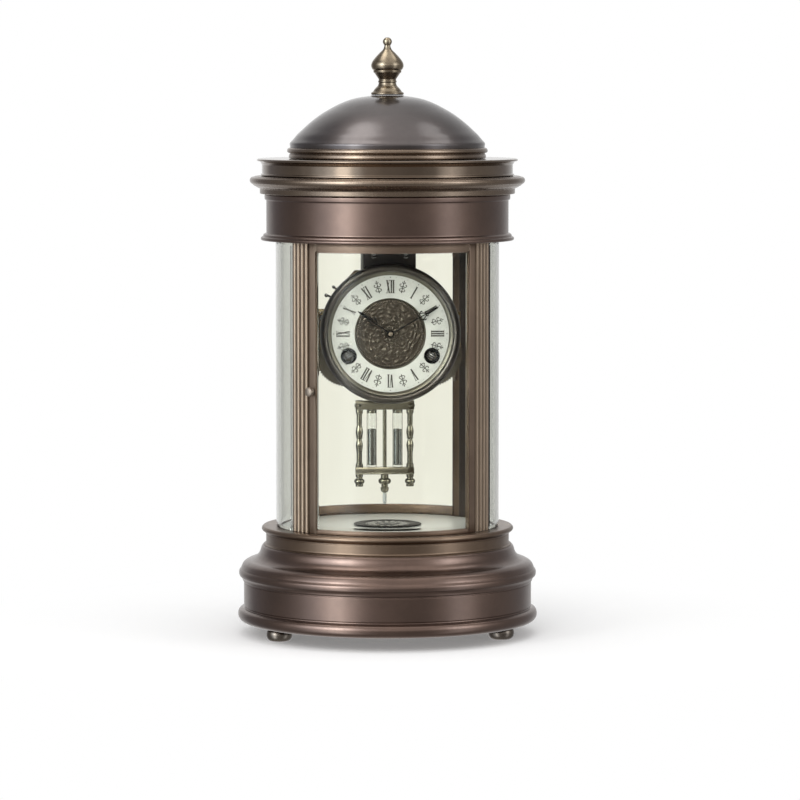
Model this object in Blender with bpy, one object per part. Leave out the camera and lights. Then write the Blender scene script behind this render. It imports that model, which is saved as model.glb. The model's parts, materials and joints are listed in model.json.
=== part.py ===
"""Round glazed table clock: turned base and dome, curved glass doors, spring movement, jar pendulum.

Metres, +Z up, the dial faces -Y, and the floor under the feet is z = 0.
"""

import math

import bmesh
import bpy
from mathutils import Matrix, Vector

MM = 0.001

# Clearances that all pieces share
SEAT_GAP = 0.3 * MM
DOOR_GAP = 0.5 * MM
TOOTH_GAP = 0.5 * MM
OVERRUN = 1.0 * MM
WELD = 0.001 * MM

# Facets of round pieces
TURNED_SIDES = 32
SMALL_SIDES = 14
ARBOR_SIDES = 8

# Feet, base and collar
FOOT_RADIUS = 9.75 * MM
FOOT_HEIGHT = 10.3 * MM
FOOT_INSET = 9.5 * MM
FOOT_ANGLE = math.radians(66)
BASE_OVERHANG = 28.4 * MM
BASE_HEIGHT = 57.6 * MM
BASE_WALL = 12.4 * MM
BOARD_THICKNESS = 5.0 * MM
COLLAR_OVERHANG = 10.4 * MM
COLLAR_HEIGHT = 14.0 * MM
FLOOR_INSET = 5.0 * MM
FLOOR_THICKNESS = 0.9 * MM
MEDALLION_RADIUS = 25.5 * MM
MEDALLION_HEIGHT = 1.0 * MM

# Glazed body
BODY_HEIGHT = 213.9 * MM
CASE_RADIUS = 84.0 * MM
FRAME_THICKNESS = 3.5 * MM
REED_RISE = 0.7 * MM
REED_DEPTH = 1.3 * MM
REED_COUNT = 4
PILASTER_DEPTH = 4.5 * MM
DOOR_ANGLE = math.radians(46.8)
STILE_ANGLE = math.radians(4.9)
PILASTER_ANGLE = math.radians(13.4)
BOTTOM_RAIL = 4.6 * MM
TOP_RAIL = 6.3 * MM
GLASS_THICKNESS = 2.6 * MM
PIN_RADIUS = 0.8 * MM
PIN_INSET = 1.0 * MM
PIN_REACH = 2.6 * MM
KNOB_RADIUS = 2.75 * MM
KNOB_LENGTH = 5.6 * MM
KNOB_HEIGHT = 104.8 * MM
SHAFT_RADIUS = 1.0 * MM
SHAFT_REACH = 2.6 * MM
TONGUE_LENGTH = 7.0 * MM
TONGUE_WIDTH = 2.2 * MM
TONGUE_THICKNESS = 1.2 * MM

# Top
TOP_OVERHANG = 18.8 * MM
TOP_WALL = 24.8 * MM
FRIEZE_HEIGHT = 34.4 * MM
CORNICE_HEIGHT = 13.1 * MM
CEILING_THICKNESS = 2.5 * MM
CAP_INSET = 5.3 * MM
CAP_HEIGHT = 12.7 * MM
DOME_INSET = 22.6 * MM
DOME_HEIGHT = 46.7 * MM
FINIAL_RADIUS = 12.3 * MM
FINIAL_HEIGHT = 42.8 * MM

# Dial and hands
DIAL_FACE = 36.0 * MM
BEZEL_RADIUS = 52.0 * MM
DRAWN_BEZEL = 52.0 * MM
BEZEL_RISE = 5.0 * MM
BEZEL_WIDTH = 8.3 * MM
PAN_THICKNESS = 1.0 * MM
CHAPTER_THICKNESS = 1.6 * MM
CENTRE_RADIUS = 26.2 * MM
CENTRE_SINK = 0.6 * MM
CENTRE_BORE = 3.2 * MM
KEY_HOLE = 4.9 * MM
DIAL_FOOT_RADIUS = 1.5 * MM
DIAL_FOOT_CIRCLE = 38.0 * MM
MINUTE_LENGTH = 40.5 * MM
HOUR_LENGTH = 28.0 * MM
HAND_THICKNESS = 0.8 * MM
MINUTE_ANGLE = math.radians(62)
HOUR_ANGLE = math.radians(305)
HOUR_HAND_AHEAD = 2.4 * MM
HAND_SPACING = 1.9 * MM
HAND_BOSS_RISE = 0.2 * MM
HOUR_BOSS = 3.6 * MM
MINUTE_BOSS = 3.0 * MM

# Movement plates and bracket
PLATE_THICKNESS = 2.5 * MM
PLATE_SPACING = 35.0 * MM
FRONT_PLATE_SETBACK = 8.5 * MM
PLATE_HALF_WIDTH = 52.7 * MM
PLATE_TOP_HALF_WIDTH = 24.0 * MM
PLATE_NECK_HALF_WIDTH = 40.0 * MM
PLATE_FOOT_HALF_WIDTH = 32.0 * MM
PLATE_TOP = 45.0 * MM
PLATE_NECK = 28.0 * MM
PLATE_SHOULDER = 16.0 * MM
PLATE_WAIST = 10.0 * MM
PLATE_BOTTOM = 30.0 * MM
PILLAR_RADIUS = 2.5 * MM
PILLAR_INSET = 4.5 * MM
BRACKET_WIDTH = 39.0 * MM
BRACKET_HEIGHT = 22.8 * MM
BRACKET_FLANGE_WIDTH = 60.0 * MM
BRACKET_FLANGE = 2.1 * MM

# Trains
ARBOR_RADIUS = 0.7 * MM
WHEEL_THICKNESS = 1.5 * MM
PINION_LENGTH = 3.5 * MM
GREAT_TEETH = 72
SECOND_TEETH = 60
CENTRE_TEETH = 80
THIRD_TEETH = 80
ESCAPE_TEETH = 36
GREAT_PINION_LEAVES = 10
CENTRE_PINION_LEAVES = 10
THIRD_PINION_LEAVES = 8
ESCAPE_PINION_LEAVES = 6
GREAT_SIDE = 30.8 * MM
GREAT_DROP = 16.4 * MM
GREAT_THICKNESS = 2.5 * MM
SECOND_MODULE = 0.411 * MM
SECOND_ANGLE = math.radians(20.3)
CENTRE_MODULE = 0.32 * MM
THIRD_ANGLE = math.radians(120.3)
THIRD_MODULE = 0.32 * MM
ESCAPE_RADIUS = 9.3 * MM
ESCAPE_TOOTH_DEPTH = 1.1 * MM
ANCHOR_RISE = 15.05 * MM
ANCHOR_SPREAD = 9.0 * MM
ANCHOR_DROP = 8.5 * MM
ANCHOR_ARM = 1.0 * MM
BARREL_RADIUS = 19.5 * MM
BARREL_LENGTH = 22.0 * MM
BARREL_WALL = 1.0 * MM
SPRING_CORE = 6.0 * MM
WINDING_RADIUS = 3.0 * MM
WINDING_SQUARE = 2.2 * MM
WINDING_SETBACK = 2.0 * MM
SECOND_PLANE_SHARE = 0.12
GREAT_PLANE_SHARE = 0.24
CENTRE_PLANE_SHARE = 0.45
THIRD_PLANE_SHARE = 0.62
ESCAPE_PLANE_SHARE = 0.79

# Motion works behind the dial
CANNON_TEETH = 12
MINUTE_TEETH = 36
MINUTE_PINION_LEAVES = 10
HOUR_TEETH = 40
CANNON_MODULE = 0.35 * MM
MINUTE_WHEEL_ANGLE = math.radians(225)
MOTION_THICKNESS = 1.2 * MM
CANNON_BORE = 1.0 * MM
CANNON_PIPE = 1.35 * MM
HOUR_BORE = 1.7 * MM
HOUR_PIPE = 2.3 * MM
STUD_RADIUS = 0.6 * MM

# Bell and hammer
BELL_RADIUS = 28.0 * MM
BELL_DEPTH = 14.0 * MM
BELL_WALL = 1.2 * MM
BELL_DROP = 8.0 * MM
BELL_SETBACK = 1.8 * MM
POST_RADIUS = 2.0 * MM
HAMMER_ANGLE = math.radians(-33.7)
HAMMER_ARM = 24.0 * MM
HAMMER_HEAD = 3.5 * MM
HAMMER_THICKNESS = 3.0 * MM
HAMMER_GAP = 0.8 * MM
HAMMER_HUB = 2.2 * MM
HAMMER_STUD = 1.1 * MM
HAMMER_BAR = 0.9 * MM

# Pendulum and its suspension
PENDULUM_PLANE = 36.0 * MM
ROD_RADIUS = 1.5 * MM
ROD_TOP_DROP = 9.0 * MM
SPRING_THICKNESS = 0.6 * MM
SPRING_WIDTH = 4.0 * MM
POINTER_CLEARANCE = 11.6 * MM
TOP_BAR_HEIGHT = 7.0 * MM
TOP_BAR_HALF = 22.5 * MM
BAR_DEPTH = 7.0 * MM
COLUMN_SIDE = 19.3 * MM
COLUMN_RADIUS = 3.6 * MM
COLUMN_HEIGHT = 43.5 * MM
BOTTOM_BAR_HEIGHT = 5.4 * MM
COLUMN_BALL = 4.0 * MM
COLUMN_BALL_DROP = 10.7 * MM
JAR_SIDE = 9.8 * MM
JAR_RADIUS = 4.05 * MM
JAR_WALL = 0.55 * MM
JAR_FOOT = 1.2 * MM
MERCURY_FILL = 27.5 * MM
CENTRE_BALL = 4.8 * MM
NUT_RADIUS = 3.0 * MM
NUT_HEIGHT = 3.7 * MM
NUT_DROP = 9.6 * MM
POINTER_RADIUS = 1.0 * MM
POINTER_DROP = 23.0 * MM
COCK_HALF_WIDTH = 6.0 * MM
COCK_HEIGHT = 5.0 * MM
COCK_CLEARANCE = 2.2 * MM
COCK_CHEEK = 3.0 * MM
CRUTCH_DROP = 22.0 * MM
CRUTCH_SETBACK = 5.0 * MM
CRUTCH_WIDTH = 1.6 * MM
CRUTCH_THICKNESS = 1.2 * MM

# Turned outlines as (radius, height) shares of each piece's own radius and height
FOOT_SHARES = [(0, 0), (0.70, 0), (0.92, 0.15), (1, 0.42), (0.95, 0.7), (0.80, 0.9), (0.80, 1), (0, 1)]
BASE_OUTER_SHARES = [
    (0.945, 0), (0.985, 0.03), (1, 0.10), (0.985, 0.16), (0.960, 0.186), (0.960, 0.519), (0.972, 0.56),
    (0.991, 0.61), (0.991, 0.66), (0.981, 0.705), (0.956, 0.783), (0.912, 0.809), (0.886, 0.835),
    (0.869, 0.861), (0.846, 0.913), (0.841, 0.939), (0.841, 1),
]
BASE_SOFFIT_SHARE = 0.93
BASE_WAIST_SHARES = [(0.79, 0.76), (0.79, 0.93)]
BASE_BORE_TOP_SHARE = 0.69
COLLAR_OUTER_SHARES = [
    (0.964, 0), (0.964, 0.60), (0.984, 0.707), (1, 0.83), (1, 0.89), (0.992, 0.957), (0.975, 1),
]
COLLAR_BORE_SHARES = [(0, 0.6), (0.87, 0.6), (0.87, 0)]
MEDALLION_SHARES = [(0, 0), (0.98, 0), (1, 0.3), (0.94, 0.9), (0.88, 0.5), (0.40, 0.5), (0.30, 1), (0, 1)]
FRIEZE_SHARES = [
    (0.9095, 0), (0.921, 0.0278), (0.921, 0.0625), (0.905, 0.0903), (0.885, 0.1424), (0.880, 0.1597),
    (0.880, 0.868), (0.892, 0.8889), (0.892, 1),
]
CORNICE_SHARES = [
    (0.927, 0), (0.927, 0.3213), (0.962, 0.4344), (0.981, 0.5402), (0.997, 0.6534), (1, 0.7628),
    (0.994, 0.8796), (0.973, 1),
]
CAP_SHARES = [(0.961, 0), (0.961, 0.685), (0.974, 0.827), (1, 0.866), (1, 0.96), (0.99, 1), (0, 1)]
CAP_BORE_SHARES = [(0, 0.61), (0.882, 0.61), (0.882, 0)]
DOME_OUTER_SHARES = [
    (0.975, 0), (0.975, 0.08), (0.99, 0.092), (1, 0.116), (0.99, 0.15), (0.977, 0.193), (0.972, 0.242),
    (0.94, 0.291), (0.849, 0.45), (0.738, 0.61), (0.589, 0.767), (0.478, 0.863), (0.374, 0.927),
    (0.299, 0.959), (0.186, 0.99), (0.16, 1), (0, 1),
]
DOME_BORE_SHARES = [(0, 0.93), (0.28, 0.89), (0.55, 0.72), (0.72, 0.52), (0.88, 0.27), (0.91, 0)]
FINIAL_SHARES = [
    (0, 0), (0.93, 0), (1, 0.016), (0.97, 0.05), (0.74, 0.12), (0.53, 0.19), (0.53, 0.26), (0.60, 0.313),
    (0.80, 0.40), (0.846, 0.435), (0.985, 0.505), (0.935, 0.575), (0.764, 0.643), (0.56, 0.713),
    (0.30, 0.783),
    (0.187, 0.85), (0.187, 0.875), (0.211, 0.93), (0.15, 0.985), (0, 1),
]
KNOB_SHARES = [(0, -1), (0.4, -1), (0.4, 0.3), (1, 0.45), (1, 0.75), (0.6, 1), (0, 1)]
BEZEL_SHARES = [(0, 0), (0, 0.55), (0.12, 0.80), (0.35, 0.86), (0.5, 1), (0.72, 0.9), (0.86, 0.5), (1, 0.2)]
CENTRE_DISC_SHARES = [(1, 0), (1, 1), (0.86, 0.6), (0.80, 0.9), (0.40, 0.9), (0.34, 0.6)]
COLUMN_SHARES = [
    (0.5, 0), (0.72, 0.03), (0.72, 0.20), (0.72, 0.46), (0.97, 0.53), (0.6, 0.63), (0.4, 0.66), (0.97, 0.78),
    (0.6, 0.88), (0.5, 1),
]
BALL_SHARES = [(0, -1), (0.6, -0.8), (1, 0), (0.6, 0.8), (0, 1)]
NUT_SHARES = [(1, 0), (1, 1)]
MINUTE_HAND_SHARES = [
    (0.030, 0.0), (0.026, 0.30), (0.026, 0.50), (0.085, 0.57), (0.105, 0.64), (0.060, 0.70), (0.022, 0.76),
    (0.016, 0.92), (0.004, 1.0),
]
HOUR_HAND_SHARES = [
    (0.045, 0.0), (0.040, 0.30), (0.040, 0.42), (0.150, 0.50), (0.185, 0.60), (0.130, 0.70), (0.045, 0.78),
    (0.022, 0.92), (0.006, 1.0),
]

# What lies across the dial and the plates was drawn for one bezel, and grows with it
GROWTH = BEZEL_RADIUS / DRAWN_BEZEL
CENTRE_RADIUS *= GROWTH
KEY_HOLE *= GROWTH
DIAL_FOOT_CIRCLE *= GROWTH
MINUTE_LENGTH *= GROWTH
HOUR_LENGTH *= GROWTH
PLATE_HALF_WIDTH *= GROWTH
PLATE_TOP_HALF_WIDTH *= GROWTH
PLATE_NECK_HALF_WIDTH *= GROWTH
PLATE_FOOT_HALF_WIDTH *= GROWTH
PLATE_TOP *= GROWTH
PLATE_NECK *= GROWTH
PLATE_SHOULDER *= GROWTH
PLATE_WAIST *= GROWTH
PLATE_BOTTOM *= GROWTH
GREAT_SIDE *= GROWTH
GREAT_DROP *= GROWTH
SECOND_MODULE *= GROWTH
CENTRE_MODULE *= GROWTH
THIRD_MODULE *= GROWTH
ESCAPE_RADIUS *= GROWTH
ANCHOR_RISE *= GROWTH
ANCHOR_SPREAD *= GROWTH
ANCHOR_DROP *= GROWTH
BARREL_RADIUS *= GROWTH
CANNON_MODULE *= GROWTH
BELL_RADIUS *= GROWTH
BELL_DROP *= GROWTH
HAMMER_ARM *= GROWTH

# Radii that follow from the glazed body's
COLLAR_RADIUS = CASE_RADIUS + COLLAR_OVERHANG
FLOOR_RADIUS = CASE_RADIUS - FLOOR_INSET
BASE_RADIUS = CASE_RADIUS + BASE_OVERHANG
BASE_BORE = BASE_RADIUS - BASE_WALL
FOOT_CIRCLE = BASE_BORE - FOOT_INSET
TOP_RADIUS = CASE_RADIUS + TOP_OVERHANG
TOP_BORE = TOP_RADIUS - TOP_WALL
CAP_RADIUS = TOP_RADIUS - CAP_INSET
DOME_RADIUS = CAP_RADIUS - DOME_INSET

# Heights that follow from the sizes above
BASE_BOTTOM = FOOT_HEIGHT
BASE_TOP = BASE_BOTTOM + BASE_HEIGHT
COLLAR_BOTTOM = BASE_TOP + SEAT_GAP
COLLAR_TOP = COLLAR_BOTTOM + COLLAR_HEIGHT
TOP_BOTTOM = COLLAR_TOP + BODY_HEIGHT
CORNICE_BOTTOM = TOP_BOTTOM + FRIEZE_HEIGHT + SEAT_GAP
CAP_BOTTOM = CORNICE_BOTTOM + CORNICE_HEIGHT + SEAT_GAP
DOME_BOTTOM = CAP_BOTTOM + CAP_HEIGHT + SEAT_GAP
FINIAL_BOTTOM = DOME_BOTTOM + DOME_HEIGHT + SEAT_GAP
DOOR_BOTTOM = COLLAR_TOP + DOOR_GAP
DOOR_TOP = TOP_BOTTOM - DOOR_GAP
BRACKET_BOTTOM = TOP_BOTTOM - BRACKET_HEIGHT
DIAL_HEIGHT = BRACKET_BOTTOM - SEAT_GAP - PLATE_TOP
FRAME_INNER = CASE_RADIUS - FRAME_THICKNESS
HINGE_CIRCLE = CASE_RADIUS - PIN_RADIUS
HINGE_ANGLE = DOOR_ANGLE - PIN_INSET / CASE_RADIUS
KNOB_ANGLE = DOOR_ANGLE - STILE_ANGLE / 2
GLASS_MIDDLE = CASE_RADIUS - FRAME_THICKNESS / 2

# Depths along Y, from the dial face back
PAN_BACK = CHAPTER_THICKNESS + SEAT_GAP + PAN_THICKNESS - DIAL_FACE
FRONT_PLATE_FRONT = FRONT_PLATE_SETBACK - DIAL_FACE
FRONT_PLATE_BACK = FRONT_PLATE_FRONT + PLATE_THICKNESS
BACK_PLATE_FRONT = FRONT_PLATE_BACK + PLATE_SPACING
BACK_PLATE_BACK = BACK_PLATE_FRONT + PLATE_THICKNESS


def polar(distance, angle):
    return Vector((distance * math.cos(angle), distance * math.sin(angle)))


# Arbor places across the plates, from the dial's centre
SECOND_CENTRE = polar(SECOND_MODULE * (SECOND_TEETH + CENTRE_PINION_LEAVES) / 2, SECOND_ANGLE)
GREAT_CENTRE = Vector((GREAT_SIDE, -GREAT_DROP))
STRIKE_CENTRE = Vector((-GREAT_SIDE, -GREAT_DROP))
GREAT_MODULE = (SECOND_CENTRE - GREAT_CENTRE).length * 2 / (GREAT_TEETH + GREAT_PINION_LEAVES)
THIRD_CENTRE = polar(CENTRE_MODULE * (CENTRE_TEETH + THIRD_PINION_LEAVES) / 2, THIRD_ANGLE)
ESCAPE_REACH = THIRD_MODULE * (THIRD_TEETH + ESCAPE_PINION_LEAVES) / 2
ESCAPE_CENTRE = Vector((0, THIRD_CENTRE.y + math.sqrt(ESCAPE_REACH ** 2 - THIRD_CENTRE.x ** 2)))
ANCHOR_CENTRE = ESCAPE_CENTRE + Vector((0, ANCHOR_RISE))
MINUTE_WHEEL_CENTRE = polar(CANNON_MODULE * (CANNON_TEETH + MINUTE_TEETH) / 2, MINUTE_WHEEL_ANGLE)
HOUR_MODULE = MINUTE_WHEEL_CENTRE.length * 2 / (HOUR_TEETH + MINUTE_PINION_LEAVES)
BELL_CENTRE = Vector((0, -BELL_DROP))
HAMMER_HEAD_CENTRE = BELL_CENTRE + polar(BELL_RADIUS + HAMMER_GAP + HAMMER_HEAD, HAMMER_ANGLE)
HAMMER_CENTRE = HAMMER_HEAD_CENTRE + polar(HAMMER_ARM, HAMMER_ANGLE + math.pi / 2)
PENDULUM_AXIS = DIAL_HEIGHT + ANCHOR_CENTRE.y
BOB_HEIGHT = TOP_BAR_HEIGHT + SEAT_GAP + COLUMN_HEIGHT + BOTTOM_BAR_HEIGHT + POINTER_DROP
BOB_TOP = PENDULUM_AXIS - COLLAR_TOP - POINTER_CLEARANCE - BOB_HEIGHT


def clear_scene():
    for old in list(bpy.data.objects):
        bpy.data.objects.remove(old, do_unlink=True)


def material(name, colour, roughness, metallic=1.0):
    made = bpy.data.materials.new(name)
    made.use_nodes = True
    shader = made.node_tree.nodes["Principled BSDF"]
    shader.inputs["Base Color"].default_value = (*colour, 1)
    shader.inputs["Roughness"].default_value = roughness
    shader.inputs["Metallic"].default_value = metallic
    return made


def object_from(name, bm, finish=None):
    """A smooth-shaded object from the bmesh, with its normals turned outwards."""
    bmesh.ops.remove_doubles(bm, verts=bm.verts, dist=WELD)
    bmesh.ops.recalc_face_normals(bm, faces=bm.faces)
    mesh = bpy.data.meshes.new(name)
    bm.to_mesh(mesh)
    bm.free()
    mesh.shade_smooth()
    mesh.set_sharp_from_angle(angle=math.radians(35))
    made = bpy.data.objects.new(name, mesh)
    bpy.context.scene.collection.objects.link(made)
    if finish:
        mesh.materials.append(finish)
    return made


def turned(name, outline, finish=None, sides=TURNED_SIDES):
    """A solid of revolution about Z from (radius, height) points, closed on the axis or on themselves."""
    bm = bmesh.new()
    points = [bm.verts.new((radius, 0, height)) for radius, height in outline]
    ends = list(zip(points, points[1:]))
    if outline[0][0] > 0 or outline[-1][0] > 0:
        ends.append((points[-1], points[0]))
    edges = [bm.edges.new(pair) for pair in ends]
    bmesh.ops.spin(
        bm, geom=points + edges, cent=(0, 0, 0), axis=(0, 0, 1), angle=math.tau, steps=sides, use_merge=True
    )
    return object_from(name, bm, finish)


def shaped(shares, radius, bottom, height):
    return [(r * radius, bottom + z * height) for r, z in shares]


def slab(name, loops, start, reach, finish=None):
    """Flat loops, the outer one first and then its holes, extruded from start by the vector reach."""
    bm = bmesh.new()
    edges = []
    for loop in loops:
        points = [bm.verts.new(Vector(point) + Vector(start)) for point in loop]
        edges += [bm.edges.new(pair) for pair in zip(points, points[1:] + points[:1])]
    bmesh.ops.triangle_fill(bm, edges=edges, use_beauty=True)
    raised = bmesh.ops.extrude_face_region(bm, geom=list(bm.faces))["geom"]
    moved = [part for part in raised if isinstance(part, bmesh.types.BMVert)]
    bmesh.ops.translate(bm, verts=moved, vec=Vector(reach))
    return object_from(name, bm, finish)


def upright(points):
    """Points across the dial, set up in the XZ plane."""
    return [(x, 0, z) for x, z in points]


def circle(radius, sides, centre=(0, 0)):
    steps = [math.tau * step / sides for step in range(sides)]
    return [(centre[0] + radius * math.cos(a), centre[1] + radius * math.sin(a)) for a in steps]


def rod(name, radius, start, end, sides=ARBOR_SIDES, finish=None):
    """A round bar between two points."""
    bm = bmesh.new()
    run = Vector(end) - Vector(start)
    turn = run.to_track_quat("Z", "Y").to_matrix().to_4x4()
    place = Matrix.Translation((Vector(start) + Vector(end)) / 2) @ turn
    bmesh.ops.create_cone(
        bm, cap_ends=True, segments=sides, radius1=radius, radius2=radius, depth=run.length, matrix=place
    )
    return object_from(name, bm, finish)


def box(name, low, high, finish=None):
    bm = bmesh.new()
    size = Vector(high) - Vector(low)
    place = Matrix.Translation((Vector(low) + Vector(high)) / 2) @ Matrix.Diagonal((*size, 1))
    bmesh.ops.create_cube(bm, size=1, matrix=place)
    return object_from(name, bm, finish)


def combine(target, others, operation="UNION"):
    """Boolean each helper into the target, and keep the helpers out of the model."""
    for other in others:
        cut = target.modifiers.new(other.name, "BOOLEAN")
        cut.operation = operation
        cut.object = other
        other.hide_render = True
        other.display_type = "WIRE"
    return target


def pivot_at(target, place, helpers=()):
    """Moves an object's origin, and its helpers' too, to the joint axis, and leaves their shape in place."""
    for moved in (target, *helpers):
        moved.data.transform(Matrix.Translation(-Vector(place)))
        moved.location = place
    return target


def arc_loop(inner, outer, first, last, steps):
    """A ring sector seen from above, its angles measured from the front towards +X."""
    angles = [first + (last - first) * step / steps for step in range(steps + 1)]
    outside = [(outer * math.sin(a), -outer * math.cos(a), 0) for a in angles]
    inside = [(inner * math.sin(a), -inner * math.cos(a), 0) for a in reversed(angles)]
    return outside + inside


def radial(distance, angle, height):
    return Vector((distance * math.sin(angle), -distance * math.cos(angle), height))


# Finishes
BRONZED = material("bronzed_brass", (0.17, 0.13, 0.10), 0.32)
GILT = material("worn_gilt_brass", (0.34, 0.28, 0.19), 0.35)
BRIGHT = material("bright_plate", (0.60, 0.60, 0.57), 0.16)
BRASS = material("movement_brass", (0.46, 0.36, 0.19), 0.30)
STEEL = material("blued_steel", (0.08, 0.08, 0.09), 0.30)
IRON = material("blackened_iron", (0.035, 0.028, 0.028), 0.55)
ENAMEL = material("white_enamel", (0.86, 0.86, 0.80), 0.22, 0.0)
GLASS = material("plate_glass", (0.90, 0.93, 0.90), 0.04, 0.0)
MERCURY = material("mercury_fill", (0.55, 0.55, 0.53), 0.12)
WOOD = material("base_wood", (0.09, 0.05, 0.03), 0.65, 0.0)
GLASS.node_tree.nodes["Principled BSDF"].inputs["Transmission Weight"].default_value = 0.9


def make_feet():
    for side, sideways in (("left", -1), ("right", 1)):
        for end, forwards in (("front", 1), ("rear", -1)):
            foot = turned(
                f"foot_{end}_{side}", shaped(FOOT_SHARES, FOOT_RADIUS, 0, FOOT_HEIGHT), BRONZED, SMALL_SIDES
            )
            angle = FOOT_ANGLE if forwards > 0 else math.pi - FOOT_ANGLE
            foot.location = radial(FOOT_CIRCLE, sideways * angle, 0)


def make_base():
    bore = [(0, BASE_BOTTOM + BASE_SOFFIT_SHARE * BASE_HEIGHT)]
    bore += reversed(shaped(BASE_WAIST_SHARES, BASE_RADIUS, BASE_BOTTOM, BASE_HEIGHT))
    bore += [(BASE_BORE, BASE_BOTTOM + BASE_BORE_TOP_SHARE * BASE_HEIGHT), (BASE_BORE, BASE_BOTTOM)]
    outside = shaped(BASE_OUTER_SHARES, BASE_RADIUS, BASE_BOTTOM, BASE_HEIGHT)
    turned("base_plinth", [*bore, *outside, (0, BASE_TOP)], BRONZED)
    edge = BASE_BORE - SEAT_GAP
    board = [(0, 0), (edge, 0), (edge, BOARD_THICKNESS), (0, BOARD_THICKNESS)]
    turned("base_board", [(r, z + BASE_BOTTOM + SEAT_GAP) for r, z in board], WOOD)

    recess = FLOOR_RADIUS + SEAT_GAP
    floor_bottom = COLLAR_TOP - FLOOR_THICKNESS
    collar = shaped(COLLAR_BORE_SHARES, COLLAR_RADIUS, COLLAR_BOTTOM, COLLAR_HEIGHT)
    collar += shaped(COLLAR_OUTER_SHARES, COLLAR_RADIUS, COLLAR_BOTTOM, COLLAR_HEIGHT)
    collar += [(recess, COLLAR_TOP), (recess, floor_bottom - SEAT_GAP), (0, floor_bottom - SEAT_GAP)]
    sockets = pin_sockets(COLLAR_TOP - PIN_REACH, COLLAR_TOP)
    combine(turned("base_collar", collar, BRONZED), sockets, "DIFFERENCE")
    floor = [(0, floor_bottom), (FLOOR_RADIUS, floor_bottom), (FLOOR_RADIUS, COLLAR_TOP), (0, COLLAR_TOP)]
    turned("floor_plate", floor, BRIGHT)
    medallion = shaped(MEDALLION_SHARES, MEDALLION_RADIUS, COLLAR_TOP + SEAT_GAP, MEDALLION_HEIGHT)
    turned("floor_medallion", medallion, IRON, SMALL_SIDES)


def pin_sockets(low, high):
    """Cutters for the two doors' pivot pins, running past the given heights."""
    sockets = []
    for turn in (0, math.pi):
        start = radial(HINGE_CIRCLE, HINGE_ANGLE + turn, low - OVERRUN)
        end = radial(HINGE_CIRCLE, HINGE_ANGLE + turn, high + OVERRUN)
        sockets.append(rod("pin_socket", PIN_RADIUS + SEAT_GAP, start, end))
    return sockets


def make_pilasters():
    first = DOOR_ANGLE + DOOR_GAP / CASE_RADIUS
    last = first + PILASTER_ANGLE
    peak = CASE_RADIUS + REED_RISE
    points = []
    points_per_reed = 4
    for reed in range(REED_COUNT):
        for step in range(points_per_reed + (reed == REED_COUNT - 1)):
            share = step / points_per_reed
            angle = first + (last - first) * (reed + share) / REED_COUNT
            points.append(radial(peak - REED_DEPTH * (1 - math.sin(math.pi * share)), angle, 0))
    inner = CASE_RADIUS - PILASTER_DEPTH
    points += [radial(inner, angle, 0) for angle in (last, (first + last) / 2, first)]
    height = BODY_HEIGHT - 2 * SEAT_GAP
    for name, turn, mirror in (
        ("front_right", 0, 1), ("front_left", 0, -1), ("rear_left", math.pi, 1), ("rear_right", math.pi, -1)
    ):
        loop = [Vector((mirror * p.x, p.y, 0)) for p in points]
        pilaster = slab(f"pilaster_{name}", [loop], (0, 0, COLLAR_TOP + SEAT_GAP), (0, 0, height), BRONZED)
        pilaster.rotation_euler.z = turn


def make_side_glass():
    edge = DOOR_ANGLE + DOOR_GAP / CASE_RADIUS + PILASTER_ANGLE + SEAT_GAP / CASE_RADIUS
    inner = GLASS_MIDDLE - GLASS_THICKNESS / 2
    outer = GLASS_MIDDLE + GLASS_THICKNESS / 2
    for side, turn in (("right", 0), ("left", math.pi)):
        loop = arc_loop(inner, outer, edge, math.pi - edge, 10)
        start = (0, 0, COLLAR_TOP + SEAT_GAP)
        pane = slab(f"side_glass_{side}", [loop], start, (0, 0, BODY_HEIGHT - 2 * SEAT_GAP), GLASS)
        pane.rotation_euler.z = turn


def make_door(end, turn):
    """One door, its glass and its knob; turn sets it at the front or at the rear."""
    hinge = radial(HINGE_CIRCLE, HINGE_ANGLE + turn, 0)
    blank = arc_loop(FRAME_INNER, CASE_RADIUS, turn - DOOR_ANGLE, turn + DOOR_ANGLE, 16)
    frame = slab(f"{end}_door_frame", [blank], (0, 0, DOOR_BOTTOM), (0, 0, DOOR_TOP - DOOR_BOTTOM), BRONZED)
    light = DOOR_ANGLE - STILE_ANGLE
    sill = DOOR_BOTTOM + BOTTOM_RAIL
    head = DOOR_TOP - TOP_RAIL
    window_loop = arc_loop(FRAME_INNER - OVERRUN, CASE_RADIUS + OVERRUN, turn - light, turn + light, 14)
    window = slab("window", [window_loop], (0, 0, sill), (0, 0, head - sill))
    pins = []
    for low, high in ((DOOR_BOTTOM - PIN_REACH, sill), (head, DOOR_TOP + PIN_REACH)):
        pins.append(rod("pivot_pin", PIN_RADIUS, hinge + Vector((0, 0, low)), hinge + Vector((0, 0, high))))
    knob_angle = turn - KNOB_ANGLE
    knob_height = COLLAR_TOP + KNOB_HEIGHT
    shaft_start = radial(FRAME_INNER - OVERRUN, knob_angle, knob_height)
    shaft_end = radial(CASE_RADIUS + OVERRUN, knob_angle, knob_height)
    shaft_hole = rod("shaft_hole", SHAFT_RADIUS + SEAT_GAP, shaft_start, shaft_end)
    combine(frame, [window, shaft_hole], "DIFFERENCE")
    combine(frame, pins)
    pivot_at(frame, hinge, [window, shaft_hole, *pins])

    rebate = SEAT_GAP / CASE_RADIUS
    inner = GLASS_MIDDLE - GLASS_THICKNESS / 2
    outer = GLASS_MIDDLE + GLASS_THICKNESS / 2
    pane_loop = arc_loop(inner, outer, turn - light + rebate, turn + light - rebate, 14)
    height = head - sill - 2 * SEAT_GAP
    pane = slab(f"{end}_door_glass", [pane_loop], (0, 0, sill + SEAT_GAP), (0, 0, height), GLASS)
    pivot_at(pane, hinge)
    make_knob(end, knob_angle, knob_height)


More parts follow.
